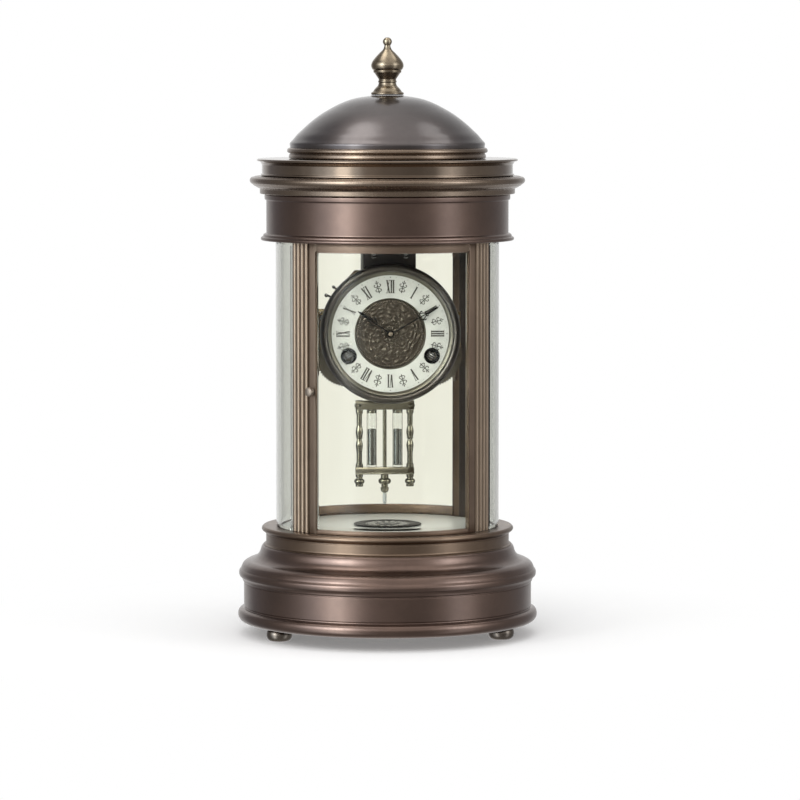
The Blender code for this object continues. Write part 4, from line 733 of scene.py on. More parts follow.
def outline(stations, corner):
    """The line through (radius, height) stations in millimetres, as metres.

    The line runs smoothly through a station with a third entry. It turns at the others, and its corners
    there are rounded.
    """
    marks = [(Vector(station[:2]), len(station) > 2) for station in stations]
    line = [(marks[0][0], False)]
    run = [marks[0][0]]
    for place, smooth in marks[1:]:
        run.append(place)
        if smooth:
            continue
        if len(run) > 2:
            line += [(point, False) for point in curve_through(run)[1:]]
        else:
            line.append((place, False))
        line[-1] = (place, True)
        run = [place]
    if len(run) > 1:
        line += [(point, False) for point in curve_through(run)[1:]]
    rounded = [line[0][0]]
    for (before, _), (here, turns), (after, _) in zip(line, line[1:], line[2:]):
        inwards, outwards = before - here, after - here
        short = min(inwards.length, outwards.length) < 0.01
        if not turns or short or inwards.angle(outwards) > NEARLY_STRAIGHT:
            rounded.append(here)
            continue
        reach = min(corner, 0.45 * inwards.length, 0.45 * outwards.length)
        first = here + inwards.normalized() * reach
        last = here + outwards.normalized() * reach
        for t in (0, 0.25, 0.5, 0.75, 1):
            rounded.append(first * (1 - t) ** 2 + here * (2 * t * (1 - t)) + last * t * t)
    rounded.append(line[-1][0])
    held = [rounded[0]]
    for a, b in zip(rounded, rounded[1:]):
        length = (b - a).length
        if length > 4 * HOLD:
            held += [a.lerp(b, HOLD / length), b.lerp(a, HOLD / length)]
        held.append(b)
    return [(point.x * MM, point.y * MM) for point in held]


def turned_mesh(stations, finish, sides=CASE_SIDES, corner=CORNER):
    line = bpy.data.meshes.new("line")
    line.from_pydata([(radius, 0.0, height) for radius, height in outline(stations, corner)], [], [])
    return outward(by_rule(line, TURNING, finish, Sides=sides))


def turned(name, stations, finish, replaces=(), sides=CASE_SIDES, place=None, body=None, corner=CORNER):
    """A turned piece from (radius, height) stations in millimetres."""
    return piece(name, turned_mesh(stations, finish, sides, corner), None, replaces, body, place)


# Turned pieces made about Z are set facing forwards, out of the dial, or backwards
FORWARDS = Matrix.Rotation(math.radians(90), 4, "X")
BACKWARDS = Matrix.Rotation(math.radians(-90), 4, "X")


def joined(*meshes):
    """One bmesh that holds all the meshes."""
    bm = bmesh.new()
    for mesh in meshes:
        bm.from_mesh(mesh)
    return bm


def skin(bm, rings, closed=False):
    """Walls from each ring of corners to the next, with the two ends shut unless the run is closed."""
    for near, far in zip(rings, rings[1:] + (rings[:1] if closed else [])):
        for side in range(len(near)):
            following = (side + 1) % len(near)
            bm.faces.new((near[side], far[side], far[following], near[following]))
    if not closed:
        bm.faces.new(rings[0])
        bm.faces.new(list(reversed(rings[-1])))


def arc_block(bm, inner, outer, first, last, low, high, steps=1):
    """A closed block between two radii, two angles from the front and two heights."""
    rings = []
    for step in range(steps + 1):
        angle = first + (last - first) * step / steps
        ring = []
        for radius, height in ((inner, low), (outer, low), (outer, high), (inner, high)):
            ring.append(bm.verts.new((radius * math.sin(angle), -radius * math.cos(angle), height)))
        rings.append(ring)
    skin(bm, rings)


def block(bm, low, high):
    size = Vector(high) - Vector(low)
    place = Matrix.Translation((Vector(low) + Vector(high)) / 2) @ Matrix.Diagonal((*size, 1))
    bmesh.ops.create_cube(bm, size=1, matrix=place)


def eased(bm, amount):
    """Rounds the edges where the faces turn by more than EASED_ANGLE."""
    bmesh.ops.remove_doubles(bm, verts=bm.verts, dist=WELD)
    bmesh.ops.recalc_face_normals(bm, faces=bm.faces)
    sharp = [e for e in bm.edges if len(e.link_faces) == 2 and e.calc_face_angle(0) > EASED_ANGLE]
    bmesh.ops.bevel(bm, geom=sharp, offset=amount, offset_type="OFFSET", segments=2, profile=0.5,
                    affect="EDGES", clamp_overlap=True)


def rod(bm, sides, radius, length, place, far_radius=None):
    """A round bar about its own Z, with flat ends."""
    bmesh.ops.create_cone(bm, cap_ends=True, segments=sides, radius1=radius, radius2=far_radius or radius,
                          depth=length, matrix=place)


def wire(bm, path, half_widths, front, half_depth, closed=False):
    """A flattened bar along a path across the dial, (x, z) in metres; half_widths are at its points."""
    sides = 8
    rings = []
    count = len(path)
    for index, point in enumerate(path):
        before = path[(index - 1) % count] if closed or index else path[0]
        after = path[(index + 1) % count] if closed or index < count - 1 else path[-1]
        along = (Vector(after) - Vector(before)).normalized()
        across = Vector((-along.y, along.x))
        half = half_widths[index] if isinstance(half_widths, (list, tuple)) else half_widths
        ring = []
        for side in range(sides):
            turn = TURN * side / sides
            spot = Vector(point) + across * (half * math.cos(turn))
            ring.append(bm.verts.new((spot.x, front + half_depth * (1 - math.sin(turn)), spot.y)))
        rings.append(ring)
    skin(bm, rings, closed)


def bow(radius, last, steps):
    """Points on an arc about the dial's centre, clockwise from the top."""
    angles = [last * step / steps for step in range(steps + 1)]
    return [Vector((radius * math.sin(a), radius * math.cos(a))) for a in angles]


def plate_from(loops, front, thickness):
    """Flat loops of (x, z) points, the outer one first and then its holes, standing across the dial."""
    bm = bmesh.new()
    edges = []
    for loop in loops:
        points = [bm.verts.new((x, front, z)) for x, z in loop]
        edges += [bm.edges.new(pair) for pair in zip(points, points[1:] + points[:1])]
    bmesh.ops.triangle_fill(bm, edges=edges, use_beauty=True)
    swept = bmesh.ops.extrude_face_region(bm, geom=list(bm.faces))["geom"]
    moved = [part for part in swept if isinstance(part, bmesh.types.BMVert)]
    bmesh.ops.translate(bm, verts=moved, vec=(0, thickness, 0))
    return bm


def circle(radius, sides, centre=(0.0, 0.0)):
    angles = [TURN * side / sides for side in range(sides)]
    return [(centre[0] + radius * math.cos(a), centre[1] + radius * math.sin(a)) for a in angles]


def refined(part, finish, edge=0.0, name=None):
    """A CAD part's own shape with its edges eased and its round faces shaded smooth."""
    bm = bmesh.new()
    bm.from_mesh(frame["nodes"][part].data)
    bmesh.ops.remove_doubles(bm, verts=bm.verts, dist=SEAM)
    bmesh.ops.dissolve_limit(bm, angle_limit=math.radians(0.6), verts=bm.verts, edges=bm.edges)
    if edge:
        eased(bm, edge)
    return piece(name or f"{part}_finish", finish_mesh(bm, part), finish, (part,))


# The case, from the floor up

# Profiles are (radius, height) stations in millimetres; the line runs smoothly through those with a 1
FOOT = [
    (0, 0), (6.4, 0), (7.6, 0.25, 1), (9.0, 1.7, 1), (9.75, 4.3, 1), (9.2, 7.2, 1), (8.0, 8.9), (7.9, 9.5),
    (7.9, 10.3), (0, 10.3),
]
PLINTH = [
    (100.0, 10.3), (105.9, 10.3), (108.9, 10.7, 1), (111.5, 12.7, 1), (112.4, 15.8, 1), (111.5, 18.9, 1),
    (108.9, 20.6), (107.6, 20.7), (107.5, 21.7), (108.0, 22.1), (108.0, 39.4), (107.6, 39.7), (107.7, 40.6),
    (108.8, 41.0), (109.4, 42.8, 1), (110.6, 44.5), (111.2, 44.7), (111.6, 46.3, 1), (111.4, 48.2, 1),
    (110.6, 49.5), (110.2, 49.9), (109.6, 51.6, 1), (108.2, 54.0, 1), (105.2, 55.9, 1), (101.8, 57.1, 1),
    (98.6, 58.9, 1), (96.5, 61.2, 1), (95.5, 63.4, 1), (95.0, 65.2, 1), (94.3, 66.8, 1), (93.3, 67.9),
    (0, 67.9), (0, 63.9), (88.8, 63.9), (88.8, 54.1), (100.0, 50.0), (100.0, 10.3),
]
COLLAR = [
    (0, 76.6), (82.1, 76.6), (82.1, 68.1), (93.0, 68.1), (92.6, 68.5, 1), (91.7, 69.0), (91.2, 69.8),
    (91.2, 75.9), (90.9, 76.2), (91.0, 77.0), (92.1, 77.4, 1), (93.3, 78.6), (93.9, 78.8), (94.4, 79.8, 1),
    (94.2, 81.0, 1), (93.2, 82.0), (92.0, 82.2), (79.3, 82.2), (79.3, 81.0), (0, 81.0), (0, 76.6),
]
FLOOR = [(0, 81.3), (79.0, 81.3), (79.0, 82.1), (0, 82.1)]
MEDALLION = [
    (0, 82.5), (24.9, 82.5), (25.5, 82.8), (25.0, 83.2, 1), (23.9, 83.45), (23.2, 83.1), (20.4, 83.0),
    (19.8, 83.25), (19.0, 83.25), (18.4, 83.0), (0, 83.0),
]
FRIEZE = [
    (78.0, 296.1), (93.2, 296.1), (94.2, 296.3, 1), (94.7, 297.4, 1), (94.2, 298.5, 1), (93.3, 298.8),
    (93.0, 299.2), (92.7, 300.3, 1), (91.6, 301.3), (90.6, 301.5), (90.5, 302.0), (90.5, 325.6),
    (90.6, 326.1), (91.5, 326.5), (91.8, 327.3, 1), (91.8, 329.6, 1), (91.4, 330.5), (78.0, 330.5),
    (78.0, 296.1),
]
CORNICE = [
    (78.0, 330.8), (94.9, 330.8), (95.3, 331.2), (95.3, 334.5), (95.9, 335.0), (97.2, 335.5, 1),
    (98.9, 336.6), (99.5, 336.8), (100.8, 337.9, 1), (101.6, 338.6), (102.1, 338.8), (102.8, 340.5, 1),
    (102.3, 342.3, 1), (101.2, 343.2), (99.6, 343.3), (99.0, 343.9), (78.0, 343.9), (78.0, 330.8),
]
CAP = [
    (0, 344.2), (93.9, 344.2), (94.6, 344.7, 1), (94.4, 345.6), (93.7, 345.9), (93.7, 352.4), (94.1, 353.0),
    (95.2, 354.6, 1), (96.4, 355.0), (97.2, 355.2), (97.5, 355.8, 1), (97.2, 356.5), (96.4, 356.9),
    (0, 356.9),
]
DOME_FOOT = [
    (66.0, 357.2), (72.8, 357.2), (73.4, 357.5, 1), (73.6, 358.8, 1), (73.2, 360.2), (72.7, 360.5),
    (72.9, 361.0), (73.6, 361.2), (74.6, 361.7, 1), (74.9, 362.8, 1), (74.4, 364.2, 1), (73.4, 364.9),
    (66.0, 364.9), (66.0, 357.2),
]
DOME = [
    (0, 360.0), (71.6, 360.0), (72.6, 365.2), (72.9, 367.4), (72.6, 368.7, 1), (70.5, 371.0, 1),
    (67.5, 374.6, 1), (63.6, 378.3, 1), (59.6, 382.0, 1), (55.3, 385.6, 1), (50.0, 389.5, 1),
    (44.1, 393.1, 1), (36.0, 397.4, 1), (28.2, 400.5, 1), (21.5, 402.2, 1), (14.2, 403.3), (12.8, 403.4),
    (12.3, 403.9), (0, 403.9),
]
FINIAL = [
    (0, 404.2), (11.4, 404.2), (12.1, 404.6, 1), (12.2, 405.6, 1), (11.5, 406.3), (10.9, 406.5),
    (9.2, 408.9, 1), (7.2, 411.0, 1), (6.4, 413.2), (6.9, 413.6), (6.9, 414.6), (6.5, 415.0),
    (6.6, 416.0, 1), (8.2, 418.4, 1), (9.6, 420.5), (10.3, 420.8), (10.5, 422.2), (10.3, 422.5),
    (11.4, 423.6, 1), (12.1, 425.8, 1), (11.6, 428.2, 1), (10.1, 430.6, 1), (7.9, 433.2, 1),
    (5.6, 435.6, 1), (3.3, 437.9, 1), (2.3, 440.2), (2.3, 441.3), (2.9, 442.0, 1), (3.4, 443.6, 1),
    (3.0, 445.2, 1), (1.7, 446.6, 1), (0, 447.0),
]

for end, y in (("front", -36.81), ("rear", 36.81)):
    for side, x in (("left", -82.68), ("right", 82.68)):
        foot = f"foot_{end}_{side}"
        place = Matrix.Translation((x * MM, y * MM, 0))
        turned(f"{foot}_bun", FOOT, FOOT_BRONZE, (foot,), SMALL_SIDES, place)
turned("plinth_shell", PLINTH, CASE_BRONZE, ("base_plinth",))
turned("collar_moulding", COLLAR, COLLAR_BRONZE, ("base_collar",))
turned("silvered_floor", FLOOR, SILVERED_PLATE, ("floor_plate",))
turned("frieze_drum", FRIEZE, CASE_BRONZE, ("frieze",))
turned("cornice_moulding", CORNICE, MOULDED_BRONZE, ("cornice",))
turned("cap_drum", CAP, WARM_BRONZE, ("cap",))
turned("dome_shell", DOME, DOME_BRONZE, ("dome",))
turned("dome_foot", DOME_FOOT, MOULDED_BRONZE, body="case")
turned("finial_spire", FINIAL, FINIAL_GILT, ("finial",), 72)
refined("ceiling_plate", CASE_BRONZE, 0.3 * MM, "ceiling_disc")


def make_medallion():
    """The round ornament on the floor: a dark turned dish with a pale rosette in it."""
    dish = turned_mesh(MEDALLION, BLACK_IRON, 96, 0.12)
    piece("floor_medallion_dish", dish, BLACK_IRON, ("floor_medallion",))
    middle, half_length, half_width, corners = 13.4, 4.4, 1.5, 14
    petal = bmesh.new()
    ring = []
    for step in range(corners):
        turn = TURN * step / corners
        reach = middle + half_length * math.cos(turn)
        ring.append(petal.verts.new((half_width * math.sin(turn) * MM, reach * MM, 83.0 * MM)))
    top = petal.verts.new((0, 14.6 * MM, 83.45 * MM))
    for a, b in zip(ring, ring[1:] + ring[:1]):
        petal.faces.new((a, b, top))
    petal.faces.new(list(reversed(ring)))
    petals = outward(by_rule(finish_mesh(petal), RING_OF, MEDAL_RELIEF, Count=18), 60)
    knob = [(0, 83.0), (7.2, 83.0), (7.2, 83.2), (6.2, 83.3, 1), (5.4, 83.1), (3.4, 83.1), (2.6, 83.4, 1),
            (0, 83.48)]
    boss = turned_mesh(knob, MEDAL_RELIEF, 96, 0.1)
    piece("floor_medallion_rosette", finish_mesh(joined(petals, boss)), MEDAL_RELIEF, body="case")


make_medallion()


# Pilasters, doors and glass

# The inner and outer radius of a pilaster's backing, its fillets' width and the circle its reeds stand on
BACKING = (79.5 * MM, 82.6 * MM)
FILLET = math.radians(0.35)
REED_RING = 82.35 * MM


def make_pilaster(part, mirror, turn, finish=UPRIGHT_BRONZE):
    """A backing with square fillets at its sides, and four reeds that run its full height."""
    bm = bmesh.new()
    arc_block(bm, *BACKING, PILASTER_FIRST, PILASTER_LAST, UPRIGHT_LOW, UPRIGHT_HIGH, 8)
    eased(bm, 0.25 * MM)
    backing = finish_mesh(bm, "backing")
    reeds = by_rule(backing, REEDING, finish, Reeds=4, First_angle=PILASTER_FIRST + FILLET,
                    Last_angle=PILASTER_LAST - FILLET, Ring_radius=REED_RING, Reed_half_width=2.28 * MM,
                    Reed_rise=2.3 * MM, Low=UPRIGHT_LOW, High=UPRIGHT_HIGH)
    mesh = outward(reeds, 50)
    if mirror:
        mesh.transform(Matrix.Scale(-1, 4, (1, 0, 0)))
        mesh = outward(mesh, 50)
    return piece(f"{part}_reeded", mesh, finish, (part,), place=Matrix.Rotation(turn, 4, "Z"))


make_pilaster("pilaster_front_right", False, FRONT_TURN)
make_pilaster("pilaster_front_left", True, FRONT_TURN)
# The rear pilasters take the darker bronze, which is painted shade
make_pilaster("pilaster_rear_left", False, REAR_TURN, SHADED_BRONZE)
make_pilaster("pilaster_rear_right", True, REAR_TURN, SHADED_BRONZE)


def make_pane(name, part, first, last, low, high, finish=CASE_GLASS):
    """A curved pane whose outer face falls away in a polished bevel round its border."""
    border = 2.2 * MM
    slope = 0.5 * MM
    margin = border / GLASS_OUTER
    count = max(8, round((last - first) / math.radians(1.6)))
    inside = [first + margin + (last - first - 2 * margin) * step / count for step in range(count + 1)]
    angles = [first, *inside, last]
    heights = [low, low + border, high - border, high]
    right = len(angles) - 1
    top = len(heights) - 1
    bm = bmesh.new()
    corner_at = {}
    for side, radius in (("outer", GLASS_OUTER), ("inner", GLASS_INNER)):
        for i, angle in enumerate(angles):
            for j, height in enumerate(heights):
                edge = side == "outer" and (i in (0, right) or j in (0, top))
                reach = radius - (slope if edge else 0)
                spot = (reach * math.sin(angle), -reach * math.cos(angle), height)
                corner_at[side, i, j] = bm.verts.new(spot)
    for side in ("outer", "inner"):
        for i in range(right):
            for j in range(top):
                corners = ((i, j), (i + 1, j), (i + 1, j + 1), (i, j + 1))
                bm.faces.new([corner_at[(side, *corner)] for corner in corners])
    rim = [(i, 0) for i in range(right)]
    rim += [(right, j) for j in range(top)]
    rim += [(i, top) for i in range(right, 0, -1)]
    rim += [(0, j) for j in range(top, 0, -1)]
    for here, there in zip(rim, rim[1:] + rim[:1]):
        corners = (("outer", *here), ("outer", *there), ("inner", *there), ("inner", *here))
        bm.faces.new([corner_at[corner] for corner in corners])
    return piece(name, finish_mesh(bm, name, 8), finish, (part,))


def make_door(end, turn, sill):
    """A curved frame of two stiles and two rails round a pane, with a fine bead at the sight edge."""
    bm = bmesh.new()
    edge = DOOR_HALF_ANGLE
    light = edge - STILE_ANGLE
    foot = DOOR_LOW - DOOR_STRETCH
    top = DOOR_HIGH + DOOR_STRETCH
    for first, last in ((-edge, -light), (light, edge)):
        arc_block(bm, CASE_INNER, CASE_OUTER, turn + first, turn + last, foot, top, 4)
    for low, high in ((foot, sill), (HEAD, top)):
        arc_block(bm, CASE_INNER, CASE_OUTER, turn - light, turn + light, low, high, RAIL_STEPS)
    eased(bm, 0.3 * MM)
    bead = bmesh.new()
    width = math.radians(0.55)
    depth = (CASE_OUTER - 0.5 * MM, CASE_OUTER + 0.25 * MM)
    for first, last in ((-light - width, -light), (light, light + width)):
        arc_block(bead, *depth, turn + first, turn + last, sill - BEAD, HEAD + BEAD)
    for low, high in ((sill - BEAD, sill), (HEAD, HEAD + BEAD)):
        arc_block(bead, *depth, turn - light, turn + light, low, high, RAIL_STEPS)
    eased(bead, 0.2 * MM)
    pins = bmesh.new()
    hinge_angle = turn + edge - 1.0 * MM / CASE_OUTER
    hinge = Vector((HINGE_RADIUS * math.sin(hinge_angle), -HINGE_RADIUS * math.cos(hinge_angle)))
    for low, high in ((DOOR_LOW - 2.5 * MM, DOOR_LOW + 3 * MM), (DOOR_HIGH - 3 * MM, DOOR_HIGH + 2.5 * MM)):
        middle = Matrix.Translation((hinge.x, hinge.y, (low + high) / 2))
        rod(pins, 20, 0.75 * MM, high - low, middle)
    parts = [finish_mesh(shape) for shape in (bm, bead, pins)]
    piece(f"{end}_door_mounting", finish_mesh(joined(*parts)), UPRIGHT_BRONZE, (f"{end}_door_frame",))
    gap = 0.3 * MM
    clear = gap / CASE_OUTER
    make_pane(f"{end}_door_pane", f"{end}_door_glass", turn - light + clear, turn + light - clear,
              sill + gap, HEAD - gap)
    make_knob(end, turn + KNOB_ANGLE)


def make_knob(end, angle):
    """The turned knob, its shaft and the latch tongue behind the stile."""
    # Heights are from the stile's face outwards
    knob = [(0, -6.1), (1.0, -6.1), (1.0, 0.2), (2.1, 0.35), (2.3, 0.7), (1.6, 1.2), (1.25, 1.9, 1),
            (1.7, 2.5), (3.0, 2.8, 1), (3.55, 3.7, 1), (3.2, 4.7, 1), (1.9, 5.4, 1), (0, 5.6)]
    mesh = turned_mesh(knob, KNOB_GILT, 36, 0.15)
    bm = bmesh.new()
    half = 1.1 * MM
    block(bm, (-half, -half, -6.1 * MM), (half, 7.0 * MM, -4.9 * MM))
    eased(bm, 0.2 * MM)
    whole = finish_mesh(joined(mesh, finish_mesh(bm)))
    outwards = Vector((math.sin(angle), -math.cos(angle), 0))
    aim = Matrix((outwards.cross((0, 0, 1)) * -1, (0, 0, 1), outwards)).transposed().to_4x4()
    spot = Matrix.Translation((CASE_OUTER * outwards.x, CASE_OUTER * outwards.y, KNOB_HEIGHT))
    piece(f"{end}_door_knob_turned", whole, KNOB_GILT, (f"{end}_door_knob",), place=spot @ aim)


make_door("front", FRONT_TURN, FRONT_SILL)
make_door("rear", REAR_TURN, REAR_SILL)
SIDE_EDGE = PILASTER_LAST + 0.25 * MM / CASE_OUTER
for side, turn in (("right", 0.0), ("left", math.pi)):
    make_pane(f"side_pane_{side}", f"side_glass_{side}", turn + SIDE_EDGE, turn + math.pi - SIDE_EDGE,
              UPRIGHT_LOW, UPRIGHT_HIGH, SIDE_GLASS)


# The dial

AT_DIAL = Matrix.Translation(DIAL)
BEZEL = [
    (43.7, 36.3), (44.1, 36.9, 1), (45.3, 37.9), (45.9, 38.0), (46.2, 38.5), (46.2, 39.2), (46.6, 39.8, 1),
    (47.8, 40.8, 1), (49.3, 40.9, 1), (50.8, 40.0, 1), (51.8, 38.3, 1), (52.0, 36.4), (51.7, 36.0),
    (51.7, 35.2), (52.0, 34.9), (52.0, 33.1), (42.9, 33.1), (42.9, 34.1), (43.7, 34.1),
]
PAN_RADIUS = 43.2 * MM
PAN_BORE = 3.2 * MM
PAN_FACE = -34.1 * MM
PAN_DEPTH = 1.0 * MM
RING_OUTER = 43.4 * MM
RING_INNER = 26.5 * MM
RING_DEPTH = 1.6 * MM


def key_holes(sides):
    return [circle(KEY_HOLE, sides, (side * KEY_SIDE, -KEY_DROP)) for side in (-1, 1)]


def at_key(side):
    """Where a winding arbor's own Z points out of the dial."""
    return Matrix.Translation(DIAL + Vector((side * KEY_SIDE, 0, -KEY_DROP))) @ FORWARDS


def make_bezel():
    """The pan with its moulded rim and its four feet; the pan is bored for the two winding keys."""
    ring = turned_mesh(BEZEL, BEZEL_BRONZE, DIAL_SIDES, 0.2)
    ring.transform(AT_DIAL @ FORWARDS)
    loops = [circle(PAN_RADIUS, DIAL_SIDES), circle(PAN_BORE, 32), *key_holes(32)]
    pan = finish_mesh(plate_from(loops, PAN_FACE, PAN_DEPTH))
    pan.transform(AT_DIAL)
    feet = bmesh.new()
    reach = 38.0 * MM
    for step in range(4):
        turn = math.radians(45) + step * math.pi / 2
        spot = DIAL + Vector((reach * math.cos(turn), -30.7 * MM, reach * math.sin(turn)))
        rod(feet, 24, 1.5 * MM, 5.6 * MM, Matrix.Translation(spot) @ FORWARDS)
    whole = finish_mesh(joined(ring, pan, finish_mesh(feet)))
    piece("bezel_and_pan", whole, BEZEL_BRONZE, ("dial_bezel",))


def make_chapter_ring():
    loops = [circle(RING_OUTER, DIAL_SIDES), circle(RING_INNER, DIAL_SIDES), *key_holes(40)]
    bm = plate_from(loops, -DIAL_FACE, RING_DEPTH)
    piece("chapter_ring_enamel", finish_mesh(bm, "ring", 30), WHITE_ENAMEL, ("chapter_ring",), place=AT_DIAL)


NUMERAL_FOOT = 30.3
NUMERAL_HEIGHT = 9.4
NUMERAL_SPACE = 8.2
STROKE_RISE = 0.045
SERIF_WIDTH = 0.42
SERIF_RISE = 0.055
# How far the painted strokes reach into the enamel under them, in millimetres
SET_IN = 0.02
# Each letter: its width and its strokes (x1, y1, x2, y2, width), in millimetres
LETTERS = {
    "I": (1.62, [(0.81, 0, 0.81, NUMERAL_HEIGHT, 1.12)]),
    "V": (2.9, [(0.70, NUMERAL_HEIGHT, 1.45, 0, 1.12), (2.45, NUMERAL_HEIGHT, 1.60, 0, 0.45)]),
    "X": (3.1, [(0.70, NUMERAL_HEIGHT, 2.40, 0, 1.15), (2.40, NUMERAL_HEIGHT, 0.70, 0, 0.42)]),
}
# Each letter's upper and lower serifs, as pairs of ends across it
SERIFS = {"I": ((0.0, 1.62), (0.0, 1.62)), "V": ((0.0, 1.4, 1.9, 2.9), ()), "X": ((0.0, 1.4, 1.8, 3.1),) * 2}
HOURS = ["XII", "I", "II", "III", "IIII", "V", "VI", "VII", "VIII", "IX", "X", "XI"]


def painted(bm, points, level):
    """Points of the dial's face in millimetres, as corners in front of it by the level."""
    return [bm.verts.new((p.x * MM, -DIAL_FACE - level * MM, p.y * MM)) for p in points]


def stroke(bm, start, end, width, height):
    """A thin painted bar between two points of the dial's face, in millimetres."""
    along = (end - start).normalized()
    across = Vector((-along.y, along.x)) * (width / 2)
    corners = [start + across, end + across, end - across, start - across]
    near = painted(bm, corners, height)
    far = painted(bm, corners, -SET_IN)
    bm.faces.new(near)
    bm.faces.new(list(reversed(far)))
    for a, b in ((0, 1), (1, 2), (2, 3), (3, 0)):
        bm.faces.new((near[b], near[a], far[a], far[b]))


def make_numerals():
    """Twelve Roman numerals with their feet towards the centre, thick and thin strokes and fine serifs."""
    bm = bmesh.new()
    for hour, word in enumerate(HOURS):
        angle = TURN * hour / 12
        width = sum(LETTERS[letter][0] for letter in word)
        squeeze = min(1.0, NUMERAL_SPACE / width)
        cursor = -width / 2

        def spot(x, y):
            across = x * squeeze
            reach = NUMERAL_FOOT + y
            return Vector((reach * math.sin(angle) + across * math.cos(angle),
                           reach * math.cos(angle) - across * math.sin(angle)))

        for letter in word:
            for x1, y1, x2, y2, thick in LETTERS[letter][1]:
                stroke(bm, spot(cursor + x1, y1), spot(cursor + x2, y2), thick * squeeze, STROKE_RISE)
            upper, lower = SERIFS[letter]
            for level, ends in ((NUMERAL_HEIGHT, upper), (0.0, lower)):
                for left, right in zip(ends[::2], ends[1::2]):
                    first, last = spot(cursor + left, level), spot(cursor + right, level)
                    stroke(bm, first, last, SERIF_WIDTH, SERIF_RISE)
            cursor += LETTERS[letter][0]
    piece("hour_numerals", finish_mesh(bm, "numerals", 30), DIAL_PAINT, body="case", place=AT_DIAL)


def leaf(bm, start, length, width, lean, lift, steps=5):
    """A pointed painted leaf from a point on the dial's face; lean is its angle clockwise from outwards."""
    along = Vector((math.sin(lean), math.cos(lean)))
    across = Vector((along.y, -along.x))
    route = [(step / steps, 1) for step in range(steps + 1)]
    route += [(step / steps, -1) for step in range(steps - 1, 0, -1)]
    points = [start + along * (length * t) + across * (side * width / 2 * math.sin(math.pi * t))
              for t, side in route]
    bm.faces.new(painted(bm, points, lift))


def make_dial_ornaments():
    """A small scrolled sprig between each two numerals, and a dot at each minute."""
    sprig = bmesh.new()
    stem = [Vector((0.0, y)) for y in (31.8, 34.4, 37.0, 39.4)]
    for a, b in zip(stem, stem[1:]):
        stroke(sprig, a, b, 0.66, 0.04)
    curls = [[(0.1, 32.6), (0.9, 32.4), (1.8, 32.7), (2.2, 33.5), (1.7, 34.0), (1.1, 33.8)],
             [(0.1, 36.2), (0.9, 36.0), (1.9, 36.1), (2.6, 36.9), (2.2, 37.7), (1.5, 37.6)],
             [(0.1, 38.3), (0.7, 38.5), (1.2, 39.0), (0.8, 39.6)]]
    for side in (-1, 1):
        for width, curl in zip((0.62, 0.66, 0.50), curls):
            path = curve_through([Vector((side * x, y)) for x, y in curl], 2)
            for a, b in zip(path, path[1:]):
                stroke(sprig, a, b, width, 0.035)
        leaf(sprig, Vector((side * 0.2, 34.9)), 1.5, 0.8, side * math.radians(96), 0.045)
    leaf(sprig, Vector((0.0, 39.0)), 1.9, 0.8, 0.0, 0.06)
    leaf(sprig, Vector((0.0, 32.6)), 1.6, 0.9, math.pi, 0.06)
    mesh = finish_mesh(sprig, "sprig", 30)
    sprigs = by_rule(mesh, RING_OF, DIAL_PAINT, Count=12, First_angle=TURN / 24, Axis=(0.0, 1.0, 0.0))
    piece("dial_sprigs", outward(sprigs, 30), DIAL_PAINT, body="case", place=AT_DIAL)
    dots = []
    place = Matrix.Translation((0, -DIAL_FACE - 0.03 * MM, 41.9 * MM)) @ FORWARDS
    for count, radius in ((60, 0.20), (12, 0.42)):
        dot = bmesh.new()
        rod(dot, 10, radius * MM, 0.1 * MM, place, radius * 0.9 * MM)
        dots.append(by_rule(finish_mesh(dot), RING_OF, DIAL_PAINT, Count=count, Axis=(0.0, 1.0, 0.0)))
    piece("minute_dots", finish_mesh(joined(*dots), "dots", 30), DIAL_PAINT, body="case", place=AT_DIAL)


def ridge(radius, middle, half_width):
    """A rounded ridge about a radius, from 0 at its sides to 1 on its top."""
    return max(0.0, 1 - ((radius - middle) / half_width) ** 2)


def relief_height(radius, angle):
    """How far the centre's pressed ornament stands out, from 0 to 1: rims, beads, a hub and leaf scrolls."""
    rim = 0.8 * ridge(radius, 25.5, 0.55)
    beads = 0.5 * ridge(radius, 23.9, 0.6) * (0.5 + 0.5 * math.cos(72 * angle))
    inner = 0.6 * ridge(radius, 6.6, 0.4)
    hub = 0.8 * ridge(radius, 4.6, 1.1) * (0.55 + 0.45 * math.cos(12 * angle))
    band = max(0.0, min(1.0, (radius - 7.4) / 1.2)) * max(0.0, min(1.0, (23.0 - radius) / 1.2))
    bend = 0.9 * math.sin(3 * angle + 0.4 * radius)
    first = math.sin(12 * angle + 0.55 * radius + bend) * math.sin(0.95 * radius - 4 * angle + bend)
    second = math.sin(20 * angle - 0.8 * radius - bend) * math.sin(1.45 * radius + 8 * angle)
    third = math.sin(28 * angle + 1.1 * radius) * math.sin(2.3 * radius - 4 * angle + bend)
    scroll = band * (0.55 * max(0.0, first) + 0.45 * max(0.0, second) * max(0.0, 0.4 + third))
    return max(rim, beads, inner, hub, scroll)


